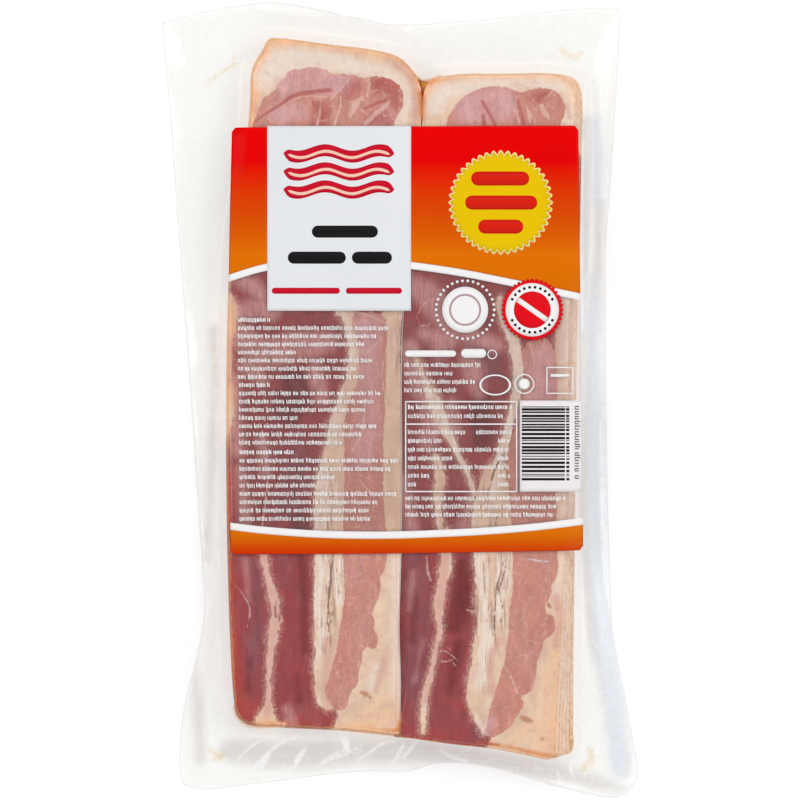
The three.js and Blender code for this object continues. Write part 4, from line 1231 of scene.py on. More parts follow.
def film_heights(points, edge):
    """The heights of the film's upper and lower web over points inside the pouch's edge, mm."""
    rise = np.full(len(points), FAR_OUT)
    lowest = np.full(len(points), -np.inf)
    for stack in STACKS:
        for depth in range(sizes().rashers):
            inside = signed_distance(points, rasher_outline(stack, depth))
            rounded = SAG * np.exp(-np.maximum(inside, 0) / SAG_REACH)
            fall = np.where(inside > 0, rounded, SAG - DRAPE_SLOPE * inside)
            rise = np.maximum(rise, level(depth) - fall)
        lowest = np.maximum(lowest, inside)
    out = -lowest
    beyond = np.maximum(out - WEB_FOOT, 0)
    outwards = beyond / (beyond + np.maximum(signed_distance(points, edge), 0) + 1e-6)
    lift = flange_lift(points, outwards)
    web = (WEB_TOP - FLANGE_FOOT) * np.clip(1 - out / WEB_FOOT, 0, 1) ** WEB_CURVE
    folds = np.zeros(len(points))
    for streak, height in FOLDS:
        folds = np.maximum(folds, height * smoothstep(*FOLD_FADE, streak_depth(points, traced(streak, 4))))
    pucker = WIDE_PUCKER * bumps(points, WIDE_SIZE, 2) + NARROW_PUCKER * bumps(points, NARROW_SIZE, 5)
    loose = FLANGE_FOOT + web + lift + smoothstep(*OFF_STACK, out) * (folds + pucker * (0.35 + outwards))
    top = SOFTNESS * np.logaddexp(rise / SOFTNESS, loose / SOFTNESS)
    top += CLEARANCE + RIPPLE * bumps(points, RIPPLE_SIZE, 8)
    under = np.maximum(UNDERSIDE, np.minimum(lift * 0.98, top - WELD_THICK))
    under = np.where(out < WEB_FOOT, UNDERSIDE, under)
    return top, np.minimum(under, top - FILM_THIN)


def reflectance(tree, normal):
    """The share of light that a clear film reflects, alike from both of its sides."""
    facing = node(tree, "ShaderNodeLayerWeight", {"Blend": 0.5, "Normal": normal}).outputs["Facing"]
    return scaled(tree, math_node(tree, "POWER", facing, 5.0), 0.6, 0.02)


def clear_film(tree, tint, haze, haze_colour, roughness, normal):
    """Finish a material as clear film: see-through with a tint, a share of haze, and a gloss over both."""
    body = node(tree, "ShaderNodeBsdfPrincipled", {
        "Base Color": (*haze_colour, 1), "Roughness": 0.3, "Normal": normal})
    clear = node(tree, "ShaderNodeBsdfTransparent", {"Color": tint})
    hazy = node(tree, "ShaderNodeMixShader", {0: haze, 1: clear.outputs[0], 2: body.outputs[0]})
    gloss = node(tree, "ShaderNodeBsdfGlossy", {
        "Color": (1, 1, 1, 1), "Roughness": roughness, "Normal": normal})
    inputs = {0: reflectance(tree, normal), 1: hazy.outputs[0], 2: gloss.outputs[0]}
    finish_material(tree, node(tree, "ShaderNodeMixShader", inputs))


def film_material():
    """Clear film: see-through, with a thin haze, painted glints along its creases and a gloss that grows at
    the edges.
    """
    material, tree = new_material("Clear film")
    palette = colours()

    def mark(name, blur, low, high):
        """The share of one of the film's marks, its border blurred by a noise."""
        return ramp_between(tree, plus(tree, attribute(tree, name), blur), low, high)

    blur = centred(tree, noise_field(tree, 600, 4), 5.0)
    cast = centred(tree, noise_field(tree, 60, 3, seed=0.6), 3.0)
    stained = mark("stain", blur, -1.0, 1.8)
    tint = mix_colour(tree, mark("shade", cast, -3.5, 2.5), palette.film, SHADE_TINT)
    # A bluer painted shade along the right fold
    tint = mix_colour(tree, mark("blue_shade", cast, -3.0, 3.0), tint, BLUE_SHADE_TINT)
    edge = attribute(tree, "edge")
    # Painted highlights: thin lighter lines along the film's crinkles near its edge, and light flecks on
    # its folds
    creases = math_node(tree, "ABSOLUTE", centred(tree, noise_field(tree, 85, 4, seed=0.25), 1.0))
    creases = times(tree, ramp_between(tree, creases, 0.016, 0.002), ramp_between(tree, edge, 40.0, 8.0))
    glint_fleck = mark("glint_fleck", centred(tree, noise_field(tree, 500, 3), 1.6), -0.9, 0.6)
    tint = mix_colour(tree, greater(tree, glint_fleck, times(tree, creases, 0.35)), tint, GLINT_TINT)
    tint = mix_colour(tree, ramp_between(tree, edge, 0.7, 0.2), tint, EDGE_TINT)
    tint = mix_colour(tree, times(tree, stained, 0.26), tint, palette.stain)
    amber = mark("amber", times(tree, blur, 0.35), -1.3, 0.8)
    tint = mix_colour(tree, times(tree, amber, 0.6), tint, palette.amber)

    glint = mark("glint", centred(tree, noise_field(tree, 900, 3), 1.4), -0.35, 0.5)
    facing = node(tree, "ShaderNodeLayerWeight", {"Blend": 0.35}).outputs["Facing"]
    haze = greater(tree, scaled(tree, facing, 0.2, 0.006), times(tree, stained, 0.06))
    haze = greater(tree, haze, times(tree, glint, 0.55))
    wrinkles = plus(tree, noise_field(tree, 120, 3, seed=0.4),
                    times(tree, noise_field(tree, 480, 2, seed=0.8), 0.25))
    clear_film(tree, tint, haze, palette.film_haze, 0.12, bumped(tree, wrinkles, 0.5, 0.4))
    return material


class BACONPACK_OT_film(bpy.types.Operator):
    """Drape the clear film over the rashers and weld it round the edge"""

    bl_idname = "bacon_pack.film"
    bl_label = "Clear film"

    def execute(self, context):
        cell = sizes().film_cell / MM
        width, length = (POUCH_HIGH - POUCH_LOW).x / MM, (POUCH_HIGH - POUCH_LOW).y / MM
        across, along = round(width / cell), round(length / cell)
        sides = pouch_sides(across, along)
        flat = coons(*sides).reshape(-1, 2)
        edge = flat[grid_rim(along, across)]
        top, under = film_heights(flat, edge)
        vertices = both_faces(flat, top, under)
        faces = grid_faces(along, across) + grid_faces(along, across, len(flat), True)
        faces += wall_faces(grid_rim(along, across, len(flat)), grid_rim(along, across))
        marks = {name: streaks(flat, strokes) for name, strokes in FILM_MARKS.items()}
        marks["edge"] = signed_distance(flat, edge)
        lower = {**marks, "glint": np.full(len(flat), FAR_OUT)}
        marks = {name: np.concatenate([marks[name], lower[name]]) for name in marks}
        piece = make_object("pouch_film", vertices, faces, film_material(), marks)
        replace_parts(piece, "pouch")
        return {"FINISHED"}


# Label

# The label film's lower and upper face, the print's underside and a layer of print, mm from the top of
# the label's solid
LABEL_SKIN = (-0.28, -0.14)
PRINT_BASE = -0.12
PRINT_STEP = 0.04

# How the top of the label's solid is read: past its box, within its edges, and how far it is smoothed, mm
DRAPE_PAST = 3
DRAPE_WITHIN = (1.5, 0.5)
DRAPE_SPREAD = 1.8
DRAPE_REACH = 4

# The label's left and right edge, in pixels, at heights in pixels down the photograph
LABEL_LEFT = [(126, 232.0), (273, 229.2), (420, 229.6), (555, 231.0)]
LABEL_RIGHT = [(126, 578.0), (290, 580.0), (460, 582.6), (555, 583.0)]
LABEL_TOP = [(232, 128.0), (400, 127.0), (578, 126.2)]
LABEL_FOOT = [(231, 554.0), (340, 553.6), (470, 552.0), (583, 550.0)]
LABEL_CORNER = 4.4
LABEL_SPAN = (231, 351)  # its left edge and its width, roughly, from which its curves are read

# The white lines under the head band and over the foot band: their upper edges and their width, pixels
LINE_TOP = [(228, 276), (266, 264.5), (305, 260), (340, 258.5), (375, 259.3), (411, 262), (460, 269),
            (504, 277.5), (545, 286), (584, 294)]
LINE_FOOT = [(228, 522), (266, 526.5), (314, 530), (357, 531.2), (400, 531), (440, 529.5), (480, 527.5),
             (530, 523.5), (586, 517)]
LINE_WIDTH = 7.2

# The bands' colours at heights in pixels down the photograph
HEAD_BAND = [(126, "e80001"), (162, "e20001"), (178, "e02201"), (195, "db3901"), (210, "d74501"),
             (225, "d75301"), (240, "da5e01"), (255, "df7001"), (296, "d86c01")]
FOOT_BAND = [(520, "e07c02"), (536, "d66802"), (545, "d04e03"), (556, "cc2203")]

BAR_STEP = 6  # the longest stretch of a bar that lies flat on the label, pixels
RASHER_WAVE = 3.2  # how far the drawn rashers wave up and down, pixels
PRINT_UNEVEN = 0.08  # how far the print's colour wavers
HUB = 0.12  # the innermost ring of a round patch, as a share of its radius


class Drape:
    """The height of the top of the label's solid, mm, smoothed."""

    def __init__(self):
        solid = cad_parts["label"]
        low, high = (np.array(corner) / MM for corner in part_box("label"))
        points = [solid.matrix_world @ vertex.co for vertex in solid.data.vertices]
        tree = BVHTree.FromPolygons(points, [tuple(face.vertices) for face in solid.data.polygons])
        self.x, self.y = (np.arange(low[k] - DRAPE_PAST, high[k] + DRAPE_PAST + 1) for k in (0, 1))
        within_x, within_y = (np.clip(line, low[k] + DRAPE_WITHIN[k], high[k] - DRAPE_WITHIN[k])
                              for k, line in enumerate((self.x, self.y)))
        heights = np.zeros((len(self.y), len(self.x)))
        for j, y in enumerate(within_y):
            for i, x in enumerate(within_x):
                hit = tree.ray_cast(Vector((x * MM, y * MM, 1)), Vector((0, 0, -1)))[0]
                heights[j, i] = hit.z / MM if hit else high[2]
        spread = np.exp(-0.5 * (np.arange(-DRAPE_REACH, DRAPE_REACH + 1) / DRAPE_SPREAD) ** 2)
        spread /= spread.sum()
        for axis in (0, 1):
            heights = np.apply_along_axis(
                lambda line: np.convolve(np.pad(line, DRAPE_REACH, "edge"), spread, "valid"), axis, heights)
        self.heights = heights

    def __call__(self, points):
        i = np.clip(points[:, 0] - self.x[0], 0, len(self.x) - 1.001)
        j = np.clip(points[:, 1] - self.y[0], 0, len(self.y) - 1.001)
        i0, j0 = i.astype(int), j.astype(int)
        di, dj = i - i0, j - j0
        h = self.heights
        return ((h[j0, i0] * (1 - di) + h[j0, i0 + 1] * di) * (1 - dj)
                + (h[j0 + 1, i0] * (1 - di) + h[j0 + 1, i0 + 1] * di) * dj)


def along_curve(curve, at):
    """The second column of a curve at places along its first."""
    line = smooth_line(curve, 10)
    return np.interp(at, line[:, 0], line[:, 1])


def plate(name, flats, drape, levels, material):
    """A thin closed plate over the label from flat patches of points in pixels: one above and one below,
    joined round their rims. Each patch is (points, faces, rim)."""
    vertices, faces = [], []
    count = 0
    for points, tops, rims in flats:
        spots = place(points)
        base = drape(spots)
        low, high = (base + z for z in levels)
        vertices.append(both_faces(spots, high, low))
        n = len(points)
        faces += [[i + count for i in face] for face in tops]
        faces += [[i + count + n for i in reversed(face)] for face in tops]
        for rim in rims:
            faces += wall_faces(rim + count + n, rim + count)
        count += 2 * n
    return make_object(name, np.concatenate(vertices), faces, material)


def patch(grid):
    """A grid of pixel points, rows upwards and columns to the right, as points, faces and rims."""
    rows, columns = grid.shape[:2]
    return grid.reshape(-1, 2), grid_faces(rows, columns), [grid_rim(rows, columns)]


def ruled(upper, lower, x_stations, rows):
    """A patch between an upper and a lower line of pixels. Rows run upwards."""
    shares = np.linspace(0, 1, rows)[:, None]
    y = lower[None] + (upper - lower)[None] * shares
    x = np.broadcast_to(x_stations, y.shape)
    return patch(np.stack([x, y], axis=-1))


def across_label(upper, lower, rows, columns=100, rounded_top=False, rounded_foot=False):
    """A patch across the whole label between two curves, with rounded outer corners where asked."""
    u = np.linspace(0, 1, columns)
    shares = np.linspace(0, 1, rows)[:, None]
    guess = LABEL_SPAN[0] + LABEL_SPAN[1] * u
    top, foot = along_curve(upper, guess), along_curve(lower, guess)
    y = foot[None] + (top - foot)[None] * shares
    left, right = along_curve(LABEL_LEFT, y[:, 0]), along_curve(LABEL_RIGHT, y[:, -1])
    x = left[:, None] + (right - left)[:, None] * u[None]
    end = np.minimum(x - left[:, None], right[:, None] - x)
    short = LABEL_CORNER - np.sqrt(np.maximum(0, LABEL_CORNER**2 - np.maximum(0, LABEL_CORNER - end) ** 2))
    if rounded_top:
        y = y + short * shares
    if rounded_foot:
        y = y - short * (1 - shares)
    return patch(np.stack([x, y], axis=-1))


def full_turn(count):
    """So many angles evenly round a circle."""
    return np.linspace(0, 2 * np.pi, count, endpoint=False)


def polar(centre, outer, inner=0.0, steps=64, rings=3):
    """A round patch or ring in pixels. The outer radius may be a function of the angle."""
    angles = full_turn(steps)
    reach = outer(angles) if callable(outer) else np.full(steps, float(outer))
    shares = np.linspace(inner / reach.max() if inner else HUB, 1, rings + 1)
    radii = [reach * share for share in shares]
    if inner:
        radii[0] = inner
    points = [np.stack([centre[0] + r * np.cos(angles), centre[1] - r * np.sin(angles)], 1) for r in radii]
    faces = []
    for ring in range(rings):
        low, high = ring * steps, (ring + 1) * steps
        for i in range(steps):
            j = (i + 1) % steps
            faces.append([low + i, high + i, high + j, low + j])
    rims = [np.arange(steps) + rings * steps]
    if inner:
        rims.append(np.arange(steps)[::-1])
    else:
        points.append(np.array([centre], float))
        middle = (rings + 1) * steps
        faces += [[middle, i, (i + 1) % steps] for i in range(steps)]
    return np.concatenate(points), faces, rims


def print_material(name, colour=None, gradient=None):
    """Glossy print: a plain colour or a gradient down the label, faintly uneven, with fine ripples."""
    material, tree = new_material(name)
    if gradient:
        coordinates = node(tree, "ShaderNodeTexCoord").outputs["Object"]
        y = node(tree, "ShaderNodeSeparateXYZ", {0: coordinates}).outputs["Y"]
        stops = [((PHOTO_MIDDLE[1] - py) * PHOTO_MM * MM, shade) for py, shade in gradient]
        (low, _), (high, _) = stops[-1], stops[0]
        share = node(tree, "ShaderNodeMapRange", {"Value": y, "From Min": low, "From Max": high}).outputs[0]
        ramp = node(tree, "ShaderNodeValToRGB", {"Fac": share})
        elements = ramp.color_ramp.elements
        while len(elements) < len(stops):
            elements.new(0.5)
        for element, (at, shade) in zip(elements, reversed(stops)):
            element.position = (at - low) / (high - low)
            element.color = (*linear(shade), 1)
        base = ramp.outputs["Color"]
    else:
        base = node(tree, "ShaderNodeRGB").outputs[0]
        base.default_value = (*colour, 1)
    uneven = plus(tree, 1.0, centred(tree, noise_field(tree, 45, 3, (1, 0.3, 1)), PRINT_UNEVEN))
    ripples = plus(tree, noise_field(tree, 60, 2, (1, 0.25, 1)),
                   times(tree, noise_field(tree, 1800, 2), 0.02))
    surface = node(tree, "ShaderNodeBsdfPrincipled", {
        "Base Color": multiplied(tree, base, uneven), "Roughness": 0.32,
        "Normal": bumped(tree, ripples, 0.25, 0.5), "Specular IOR Level": 0.05})
    finish_material(tree, surface)
    return material


def label_skin_material():
    """The label's own clear film, a little milkier than the pouch."""
    material, tree = new_material("Label film")
    palette = colours()
    facing = node(tree, "ShaderNodeLayerWeight", {"Blend": 0.3}).outputs["Facing"]
    normal = bumped(tree, noise_field(tree, 90, 3, (1, 0.4, 1)), 0.4, 0.4)
    clear_film(tree, (*palette.label_film, 1), scaled(tree, facing, 0.12, 0.008), palette.label_haze, 0.14,
               normal)
    return material


def print_levels(layer):
    """The lower and upper face of a layer of print, mm from the top of the label's solid."""
    return PRINT_BASE, PRINT_BASE + PRINT_STEP * (layer + 1)


def label_piece(name, flats, layer, material, drape):
    piece = plate(name, flats, drape, print_levels(layer), material)
    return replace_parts(piece, "label")


def offset_curve(curve, down):
    return [(x, y + down) for x, y in curve]


class BACONPACK_OT_label_bands(bpy.types.Operator):
    """Lay the label's clear skin, its two coloured bands and the white lines beside them"""

    bl_idname = "bacon_pack.label_bands"
    bl_label = "Label and bands"

    def execute(self, context):
        drape = Drape()
        palette = colours()
        skin = plate("label_skin", [across_label(LABEL_TOP, LABEL_FOOT, 118, 98, True, True)], drape,
                     LABEL_SKIN, label_skin_material())
        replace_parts(skin, "label")
        white = print_material("White print", palette.print_white)
        label_piece("label_head_band", [across_label(LABEL_TOP, LINE_TOP, 60, rounded_top=True)], 0,
                    print_material("Head band", gradient=HEAD_BAND), drape)
        label_piece("label_head_line", [across_label(LINE_TOP, offset_curve(LINE_TOP, LINE_WIDTH), 4)], 1,
                    white, drape)
        low = offset_curve(LINE_FOOT, LINE_WIDTH)
        label_piece("label_foot_line", [across_label(LINE_FOOT, low, 4)], 1, white, drape)
        label_piece("label_foot_band", [across_label(low, LABEL_FOOT, 14, rounded_foot=True)], 0,
                    print_material("Foot band", gradient=FOOT_BAND), drape)
        return {"FINISHED"}


def bar(x0, y0, x1, y1, round_ends=True):
    """A level bar in pixels, with round ends if asked."""
    half = (y1 - y0) / 2
    middle = (y0 + y1) / 2
    if round_ends:
        turn = np.linspace(0, np.pi / 2, 6)
        left = x0 + half * (1 - np.cos(turn))
        right = (x1 - half * (1 - np.cos(turn)))[::-1]
        rise = np.concatenate([half * np.sin(turn), half * np.sin(turn[::-1])])
        x = np.concatenate([left, right])
        rise = np.maximum(rise, 0.02)
    else:
        x = np.linspace(x0, x1, max(2, int((x1 - x0) / BAR_STEP) + 1))
        rise = np.full(len(x), half)
    return ruled(middle - rise, middle + rise, x, 3)


def box_outline(x0, y0, x1, y1, width):
    """The four sides of a frame in pixels."""
    return [bar(x0, y0, x1, y0 + width, False), bar(x0, y1 - width, x1, y1, False),
            bar(x0, y0 + width, x0 + width, y1 - width, False),
            bar(x1 - width, y0 + width, x1, y1 - width, False)]


def rasher_mark(x0, x1, y, height):
    """A wavy strip in pixels: the sign of a rasher."""
    x = np.linspace(x0, x1, 40)
    wave = RASHER_WAVE * np.sin((x - x0) / (x1 - x0) * 4 * np.pi)
    taper = np.sqrt(np.clip(np.minimum(x - x0, x1 - x) / (height / 2), 0.02, 1))
    return ruled(y + wave - height / 2 * taper, y + wave + height / 2 * taper, x, 4)


class BACONPACK_OT_label_panel(bpy.types.Operator):
    """Lay the label's white panel with a plain motif of rashers and bars"""

    bl_idname = "bacon_pack.label_panel"
    bl_label = "White panel"

    def execute(self, context):
        drape = Drape()
        palette = colours()
        red = print_material("Motif red", palette.motif_red)
        cream = print_material("Motif cream", palette.motif_cream)
        black = print_material("Motif black", palette.print_black)
        panel = ruled(np.full(40, 126.6), np.full(40, 311.0), np.linspace(267.5, 411, 40), 50)
        label_piece("label_panel", [panel], 2, print_material("Panel white", palette.panel), drape)
        rows = (154, 172, 190)
        label_piece("label_motif_rashers", [rasher_mark(284, 394, y, 12) for y in rows], 3, red, drape)
        label_piece("label_motif_fat", [rasher_mark(288, 390, y + 1, 3) for y in rows], 4, cream, drape)
        words = [bar(312, 226, 378, 238), bar(288, 252, 346, 264), bar(352, 252, 392, 264)]
        label_piece("label_motif_bars", words, 3, black, drape)
        label_piece("label_motif_rule", [bar(272, 288, 340, 294), bar(346, 288, 402, 294)], 3, red, drape)
        return {"FINISHED"}


def scalloped(radius, depth, teeth):
    """A radius that waves round a circle, in so many teeth."""
    return lambda angles: radius + depth * np.abs(np.cos(angles * teeth / 2)) - depth / 2


def dots(centre, reach, angles):
    """Small dots in pixels round a centre."""
    return [polar((centre[0] + reach * math.cos(a), centre[1] + reach * math.sin(a)), 1.5, steps=8, rings=1)
            for a in angles]


class BACONPACK_OT_label_badges(bpy.types.Operator):
    """Lay the label's round badges, with plain marks in the places of their words"""

    bl_idname = "bacon_pack.label_badges"
    bl_label = "Badges"

    def execute(self, context):
        drape = Drape()
        palette = colours()
        white = bpy.data.materials["White print"]
        red = print_material("Seal red", palette.seal_red)

        badge = (500.5, 203)
        label_piece("label_badge_rim", [polar(badge, scalloped(50.2, 4.2, 44), steps=352, rings=8)], 1,
                    print_material("Badge rim", palette.badge_rim), drape)
        label_piece("label_badge", [polar(badge, scalloped(48.2, 4.0, 44), steps=352, rings=8)], 2,
                    print_material("Badge yellow", palette.yellow), drape)
        bars = [bar(471, 172, 529, 186), bar(465, 196, 537, 210), bar(478, 220, 523, 234)]
        label_piece("label_badge_bars", bars, 3, print_material("Badge red", palette.badge_red), drape)

        disc = (465, 310)
        label_piece("label_disc", [polar(disc, 23, rings=4), *dots(disc, 29, full_turn(34))], 1, white,
                    drape)
        label_piece("label_disc_ring", [polar(disc, 16, 14, steps=48, rings=1)], 2,
                    print_material("Disc grey", palette.disc_grey), drape)

        seal = (532, 310)
        label_piece("label_seal_rim", [polar(seal, scalloped(30.0, 2.4, 40), steps=320, rings=5)], 2, red,
                    drape)
        label_piece("label_seal_white", [polar(seal, 26.6, rings=4)], 3, white, drape)
        ticks = dots(seal, 22.6, [a for a in full_turn(26) if abs(math.sin(a)) > 0.3])
        label_piece("label_seal_ticks", ticks, 4, print_material("Seal black", palette.print_black), drape)
        label_piece("label_seal_disc", [polar(seal, 18.4)], 4, red, drape)
        points, faces, rims = bar(-17.8, -2.6, 17.8, 2.6, False)
        turn = math.radians(35)
        x = seal[0] + points[:, 0] * math.cos(turn) - points[:, 1] * math.sin(turn)
        y = seal[1] + points[:, 0] * math.sin(turn) + points[:, 1] * math.cos(turn)
        label_piece("label_seal_bar", [(np.stack([x, y], axis=1), faces, rims)], 5, white, drape)
        return {"FINISHED"}


# Blocks of small print, in pixels: left end, first row, pitch, and how far each row reaches
TEXT_BLOCKS = [
    (238.5, 322, 8.1, (34, 150, 138, 126, 58, 136, 118, 128)),
    (239.5, 387, 8.2, (33, 144, 136, 128, 60, 138, 122, 104)),
    (240, 454, 8.3, (56, 158, 154, 96, 76, 157, 140, 130, 132)),
    (404.5, 367, 8.4, (76, 50, 72, 54)),
    (408, 409, 9, (106, 97)),
    (408, 434, 8.7, (58, 36, 90, 46, 88, 22, 8)),
    (498, 442.7, 8.7, (12, 12, 12, 12, 12, 12)),
    (476, 434, 9, (38,)),
    (405.5, 500, 8.2, (160, 150, 148)),
]
BOLD_ROWS = {(0, 0), (1, 0), (2, 0), (4, 0)}  # block and row, from 0
ROW_HEIGHT = 3.5


def row_of_marks(x, y, reach, height, rng, bold, pen=0.55):
    """Upright and level dashes in short runs along a row, in pixels: the left, top, right and bottom of
    each."""
    marks = []
    stem = pen * (1.3 if bold else 1)
    at, end = x, x + reach
    while at < end - 4 * pen:
        for _ in range(int(rng.integers(2, 10))):
            far = at + 2 * stem + pen * rng.uniform(1.1, 2.0)
            if far > end:
                break
            rise = height * rng.choice([1, 1, 1, 1.35])
            drop = height * rng.choice([0, 0, 0, 0, 0.3])
            marks += [(at, y - rise, at + stem, y), (far - stem, y - height, far, y + drop)]
            for share in (0, 0.5, 1):
                if rng.random() < 0.42:
                    foot = y - share * (height - pen)
                    marks.append((at + stem, foot - pen, far - stem, foot))
            at = far + pen * rng.uniform(1.2, 1.8)
        at += pen + rng.uniform(0.6, 1.3)
    return marks


def split(mark):
    """A rectangle cut into pieces short enough to follow the label."""
    x0, y0, x1, y1 = mark
    pieces = max(1, math.ceil((x1 - x0) / BAR_STEP))
    ends = np.linspace(x0, x1, pieces + 1)
    return [(a, y0, b, y1) for a, b in zip(ends, ends[1:])]


def boxes(name, marks, layer, material, drape):
    """Many small rectangles in pixels as one piece of closed thin boxes over the label."""
    low, high = print_levels(layer)
    marks = np.array([piece for mark in marks for piece in split(mark)])
    corners = np.stack([marks[:, [0, 3]], marks[:, [2, 3]], marks[:, [2, 1]], marks[:, [0, 1]]], axis=1)
    spots = place(corners.reshape(-1, 2))
    base = drape(spots)
    vertices = both_faces(spots, base + high, base + low)
    n = len(spots)
    faces = []
    for k in range(0, n, 4):
        a = list(range(k, k + 4))
        b = [i + n for i in a]
        faces += [a, b[::-1]] + [[b[i], b[(i + 1) % 4], a[(i + 1) % 4], a[i]] for i in range(4)]
    piece = make_object(name, vertices, faces, material, smooth=False)
    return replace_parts(piece, "label")


class BACONPACK_OT_small_print(bpy.types.Operator):
    """Lay the rows of small print as plain dashes, with the table's frame and the round marks"""

    bl_idname = "bacon_pack.small_print"
    bl_label = "Small print"

    def execute(self, context):
        drape = Drape()
        rng = np.random.default_rng(7)
        white = bpy.data.materials["White print"]
        marks = []
        for block, (x, y, pitch, rows) in enumerate(TEXT_BLOCKS):
            for row, reach in enumerate(rows):
                bold = (block, row) in BOLD_ROWS
                marks += row_of_marks(x, y + row * pitch, reach, ROW_HEIGHT, rng, bold)
        faint = print_material("Small print white", colours().small_print)
        boxes("label_small_print", marks, 0, faint, drape)
        weights = [bar(405, 350.5, 456, 357), bar(461, 349, 486, 358)]
        label_piece("label_weight_bars", weights, 0, white, drape)
        frames = box_outline(405, 401, 517, 492, 1.3) + [bar(406, 423.4, 516, 424.8, False)]
        frames += box_outline(546, 367, 573, 394, 1.2) + [bar(550, 374, 569, 377, False)]
        label_piece("label_table", frames, 0, white, drape)
        points, faces, rims = polar((0, 0), 1.0, 0.86, steps=48, rings=1)
        oval = (points * (16, 10.5) + (495, 385), faces, rims)
        rings = [oval, polar((492, 354.5), 4.8, 3.8, steps=32, rings=1),
                 polar((524, 384), 10, 8.8, steps=48, rings=1), polar((524, 384), 5.4, steps=32, rings=2)]
        label_piece("label_round_marks", rings, 0, white, drape)
        return {"FINISHED"}


# The stripes, in pixels: the narrowest one's width, and how far they reach down and across the label
MODULE = 0.82
STRIPES_DOWN = (406.5, 481.5)
STRIPES_ACROSS = (521.5, 569)
MARKS_AT = (574.5, 406)  # where the column of marks beside them starts


class BACONPACK_OT_stripe_code(bpy.types.Operator):
    """Lay the white panel with a plain run of dark stripes"""

    bl_idname = "bacon_pack.stripe_code"
    bl_label = "Stripes"

    def execute(self, context):
        drape = Drape()
        rng = np.random.default_rng(11)
        palette = colours()
        panel = ruled(np.full(16, 400.5), np.full(16, 491.5), np.linspace(519.5, 581.5, 16), 22)
        white = print_material("Stripe white", palette.stripe_panel)
        label_piece("label_stripe_panel", [panel], 0, white, drape)
        left, right = STRIPES_ACROSS
        y, foot = STRIPES_DOWN
        stripes = []
        while y < foot - 1:
            width = MODULE * int(rng.integers(1, 4))
            stripes.append((left, y, right, min(y + width, foot)))
            y += width + MODULE * int(rng.integers(1, 3))
        x, y = MARKS_AT
        marks = row_of_marks(0, 0, 76, 6.5, rng, False, 1.0)
        column = [(x, y + m[0], x + (m[3] - m[1]) * 0.62, y + m[2]) for m in marks]
        black = print_material("Stripe black", palette.stripe_dark)
        boxes("label_stripes", stripes + column, 1, black, drape)
        return {"FINISHED"}


# Stage

CAMERA_HEIGHT = 2.6
SCALE_PLANE = 8 * MM  # height over the floor at which a pixel is exactly PHOTO_MM wide
SENSOR = 36  # the camera's width, mm
FLOOR_REACH = 3.0
FLOOR_LEVEL = -0.2 * MM
FLOOR_GLOW = 0.42  # the white table is lit from below
FLOOR_GREYS = ((0.60, 0.60, 0.60), (0.63, 0.63, 0.63))
WORLD_STRENGTH = 0.48

# The soft lights: place, width and length in metres, and watts
LIGHTS = [
    ("right light", (1.3, 0.35, 1.15), (1.0, 1.0), 8.9),
    ("left light", (-1.3, 0.25, 1.15), (1.0, 1.0), 7.5),
    ("far light", (0.0, 1.4, 1.15), (1.2, 0.8), 6.9),
    ("near light", (0.1, -1.4, 1.15), (1.2, 0.8), 6.1),
]


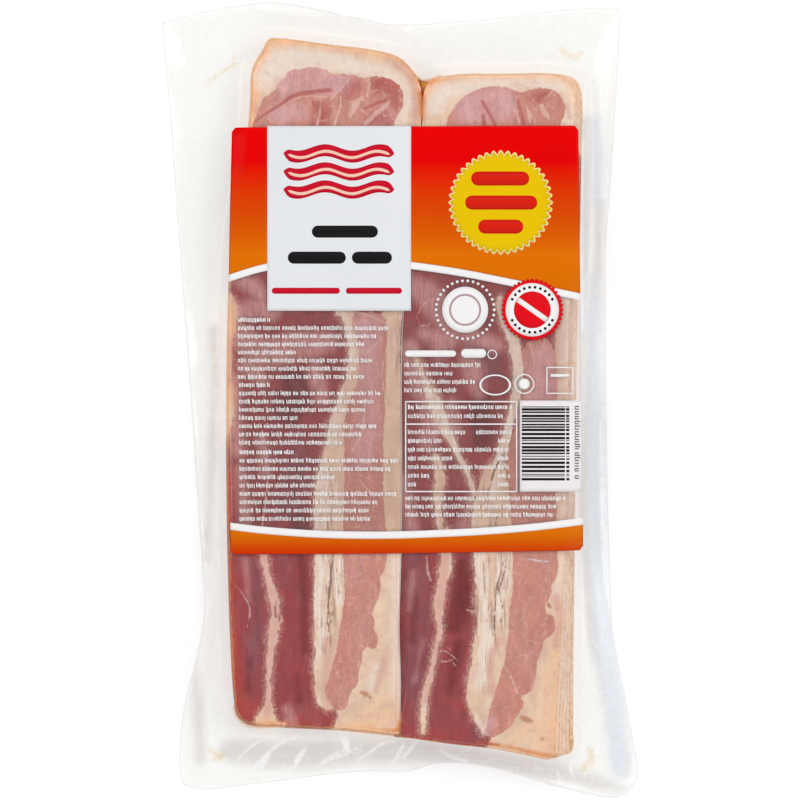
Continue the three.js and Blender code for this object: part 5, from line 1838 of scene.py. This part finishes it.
class BACONPACK_OT_stage(bpy.types.Operator):
    """Set the pale floor, the soft lights and the camera that looks straight down"""

    bl_idname = "bacon_pack.stage"
    bl_label = "Studio"

    def execute(self, context):
        scene = context.scene
        material, tree = new_material("Pale floor")
        shade = mix_colour(tree, ramp_between(tree, noise_field(tree, 400, 3), 0.3, 0.7), *FLOOR_GREYS)
        surface = node(tree, "ShaderNodeBsdfPrincipled", {
            "Base Color": shade, "Roughness": 0.9, "Specular IOR Level": 0.1,
            "Emission Color": (1, 1, 1, 1), "Emission Strength": FLOOR_GLOW})
        finish_material(tree, surface)
        mesh = bpy.data.meshes.new("floor")
        turns = ((-1, -1), (1, -1), (1, 1), (-1, 1))
        corners = [(x * FLOOR_REACH, y * FLOOR_REACH, FLOOR_LEVEL) for x, y in turns]
        mesh.from_pydata(corners, [], [(0, 1, 2, 3)])
        mesh.materials.append(material)
        floor = bpy.data.objects.new("floor", mesh)
        scene.collection.objects.link(floor)

        world = bpy.data.worlds.new("Studio")
        scene.world = world
        world.use_nodes = True
        sky = world.node_tree.nodes["Background"].inputs
        sky["Color"].default_value = (1, 1, 1, 1)
        sky["Strength"].default_value = WORLD_STRENGTH
        for name, spot, size, power in LIGHTS:
            light = bpy.data.lights.new(name, "AREA")
            light.shape = "RECTANGLE"
            light.size, light.size_y = size
            light.energy = power
            lamp = bpy.data.objects.new(name, light)
            lamp.location = spot
            lamp.rotation_euler = (-Vector(spot)).to_track_quat("-Z", "Y").to_euler()
            scene.collection.objects.link(lamp)

        camera = bpy.data.cameras.new("camera")
        camera.sensor_width = SENSOR
        camera.lens = SENSOR * CAMERA_HEIGHT / (PHOTO_WIDTH * PHOTO_MM * MM)
        camera.clip_end = 20
        eye = bpy.data.objects.new("camera", camera)
        middle = place((PHOTO_WIDTH / 2, PHOTO_WIDTH / 2)) * MM
        eye.location = (middle[0], middle[1], CAMERA_HEIGHT + SCALE_PLANE)
        scene.collection.objects.link(eye)
        scene.camera = eye
        scene.view_settings.view_transform = "Standard"
        scene.view_settings.look = "None"
        return {"FINISHED"}


STEPS = [
    ("stage", {}),
    ("stack", {"side": 0}),
    ("stack", {"side": 1}),
    ("juice", {}),
    ("film", {}),
    ("label_bands", {}),
    ("label_panel", {}),
    ("label_badges", {}),
    ("small_print", {}),
    ("stripe_code", {}),
]


class BACONPACK_PT_panel(bpy.types.Panel):
    """Lists the pack's builders"""

    bl_idname = "BACONPACK_PT_panel"
    bl_label = "Bacon pack"
    bl_space_type = "VIEW_3D"
    bl_region_type = "UI"
    bl_category = "Bacon pack"

    def draw(self, context):
        for name, settings in STEPS:
            button = self.layout.operator(f"bacon_pack.{name}")
            for key, value in settings.items():
                setattr(button, key, value)


CLASSES = (
    PackSizes, PackColours, BACONPACK_OT_stack, BACONPACK_OT_juice, BACONPACK_OT_film,
    BACONPACK_OT_label_bands, BACONPACK_OT_label_panel, BACONPACK_OT_label_badges,
    BACONPACK_OT_small_print, BACONPACK_OT_stripe_code, BACONPACK_OT_stage, BACONPACK_PT_panel,
)


def register():
    for cls in CLASSES:
        bpy.utils.register_class(cls)
    bpy.types.Scene.bacon_pack_sizes = PointerProperty(type=PackSizes)
    bpy.types.Scene.bacon_pack_colours = PointerProperty(type=PackColours)


def unregister():
    del bpy.types.Scene.bacon_pack_colours
    del bpy.types.Scene.bacon_pack_sizes
    for cls in reversed(CLASSES):
        bpy.utils.unregister_class(cls)


def main():
    register()
    for name, settings in STEPS:
        getattr(bpy.ops.bacon_pack, name)(**settings)


if __name__ == "__main__":
    main()
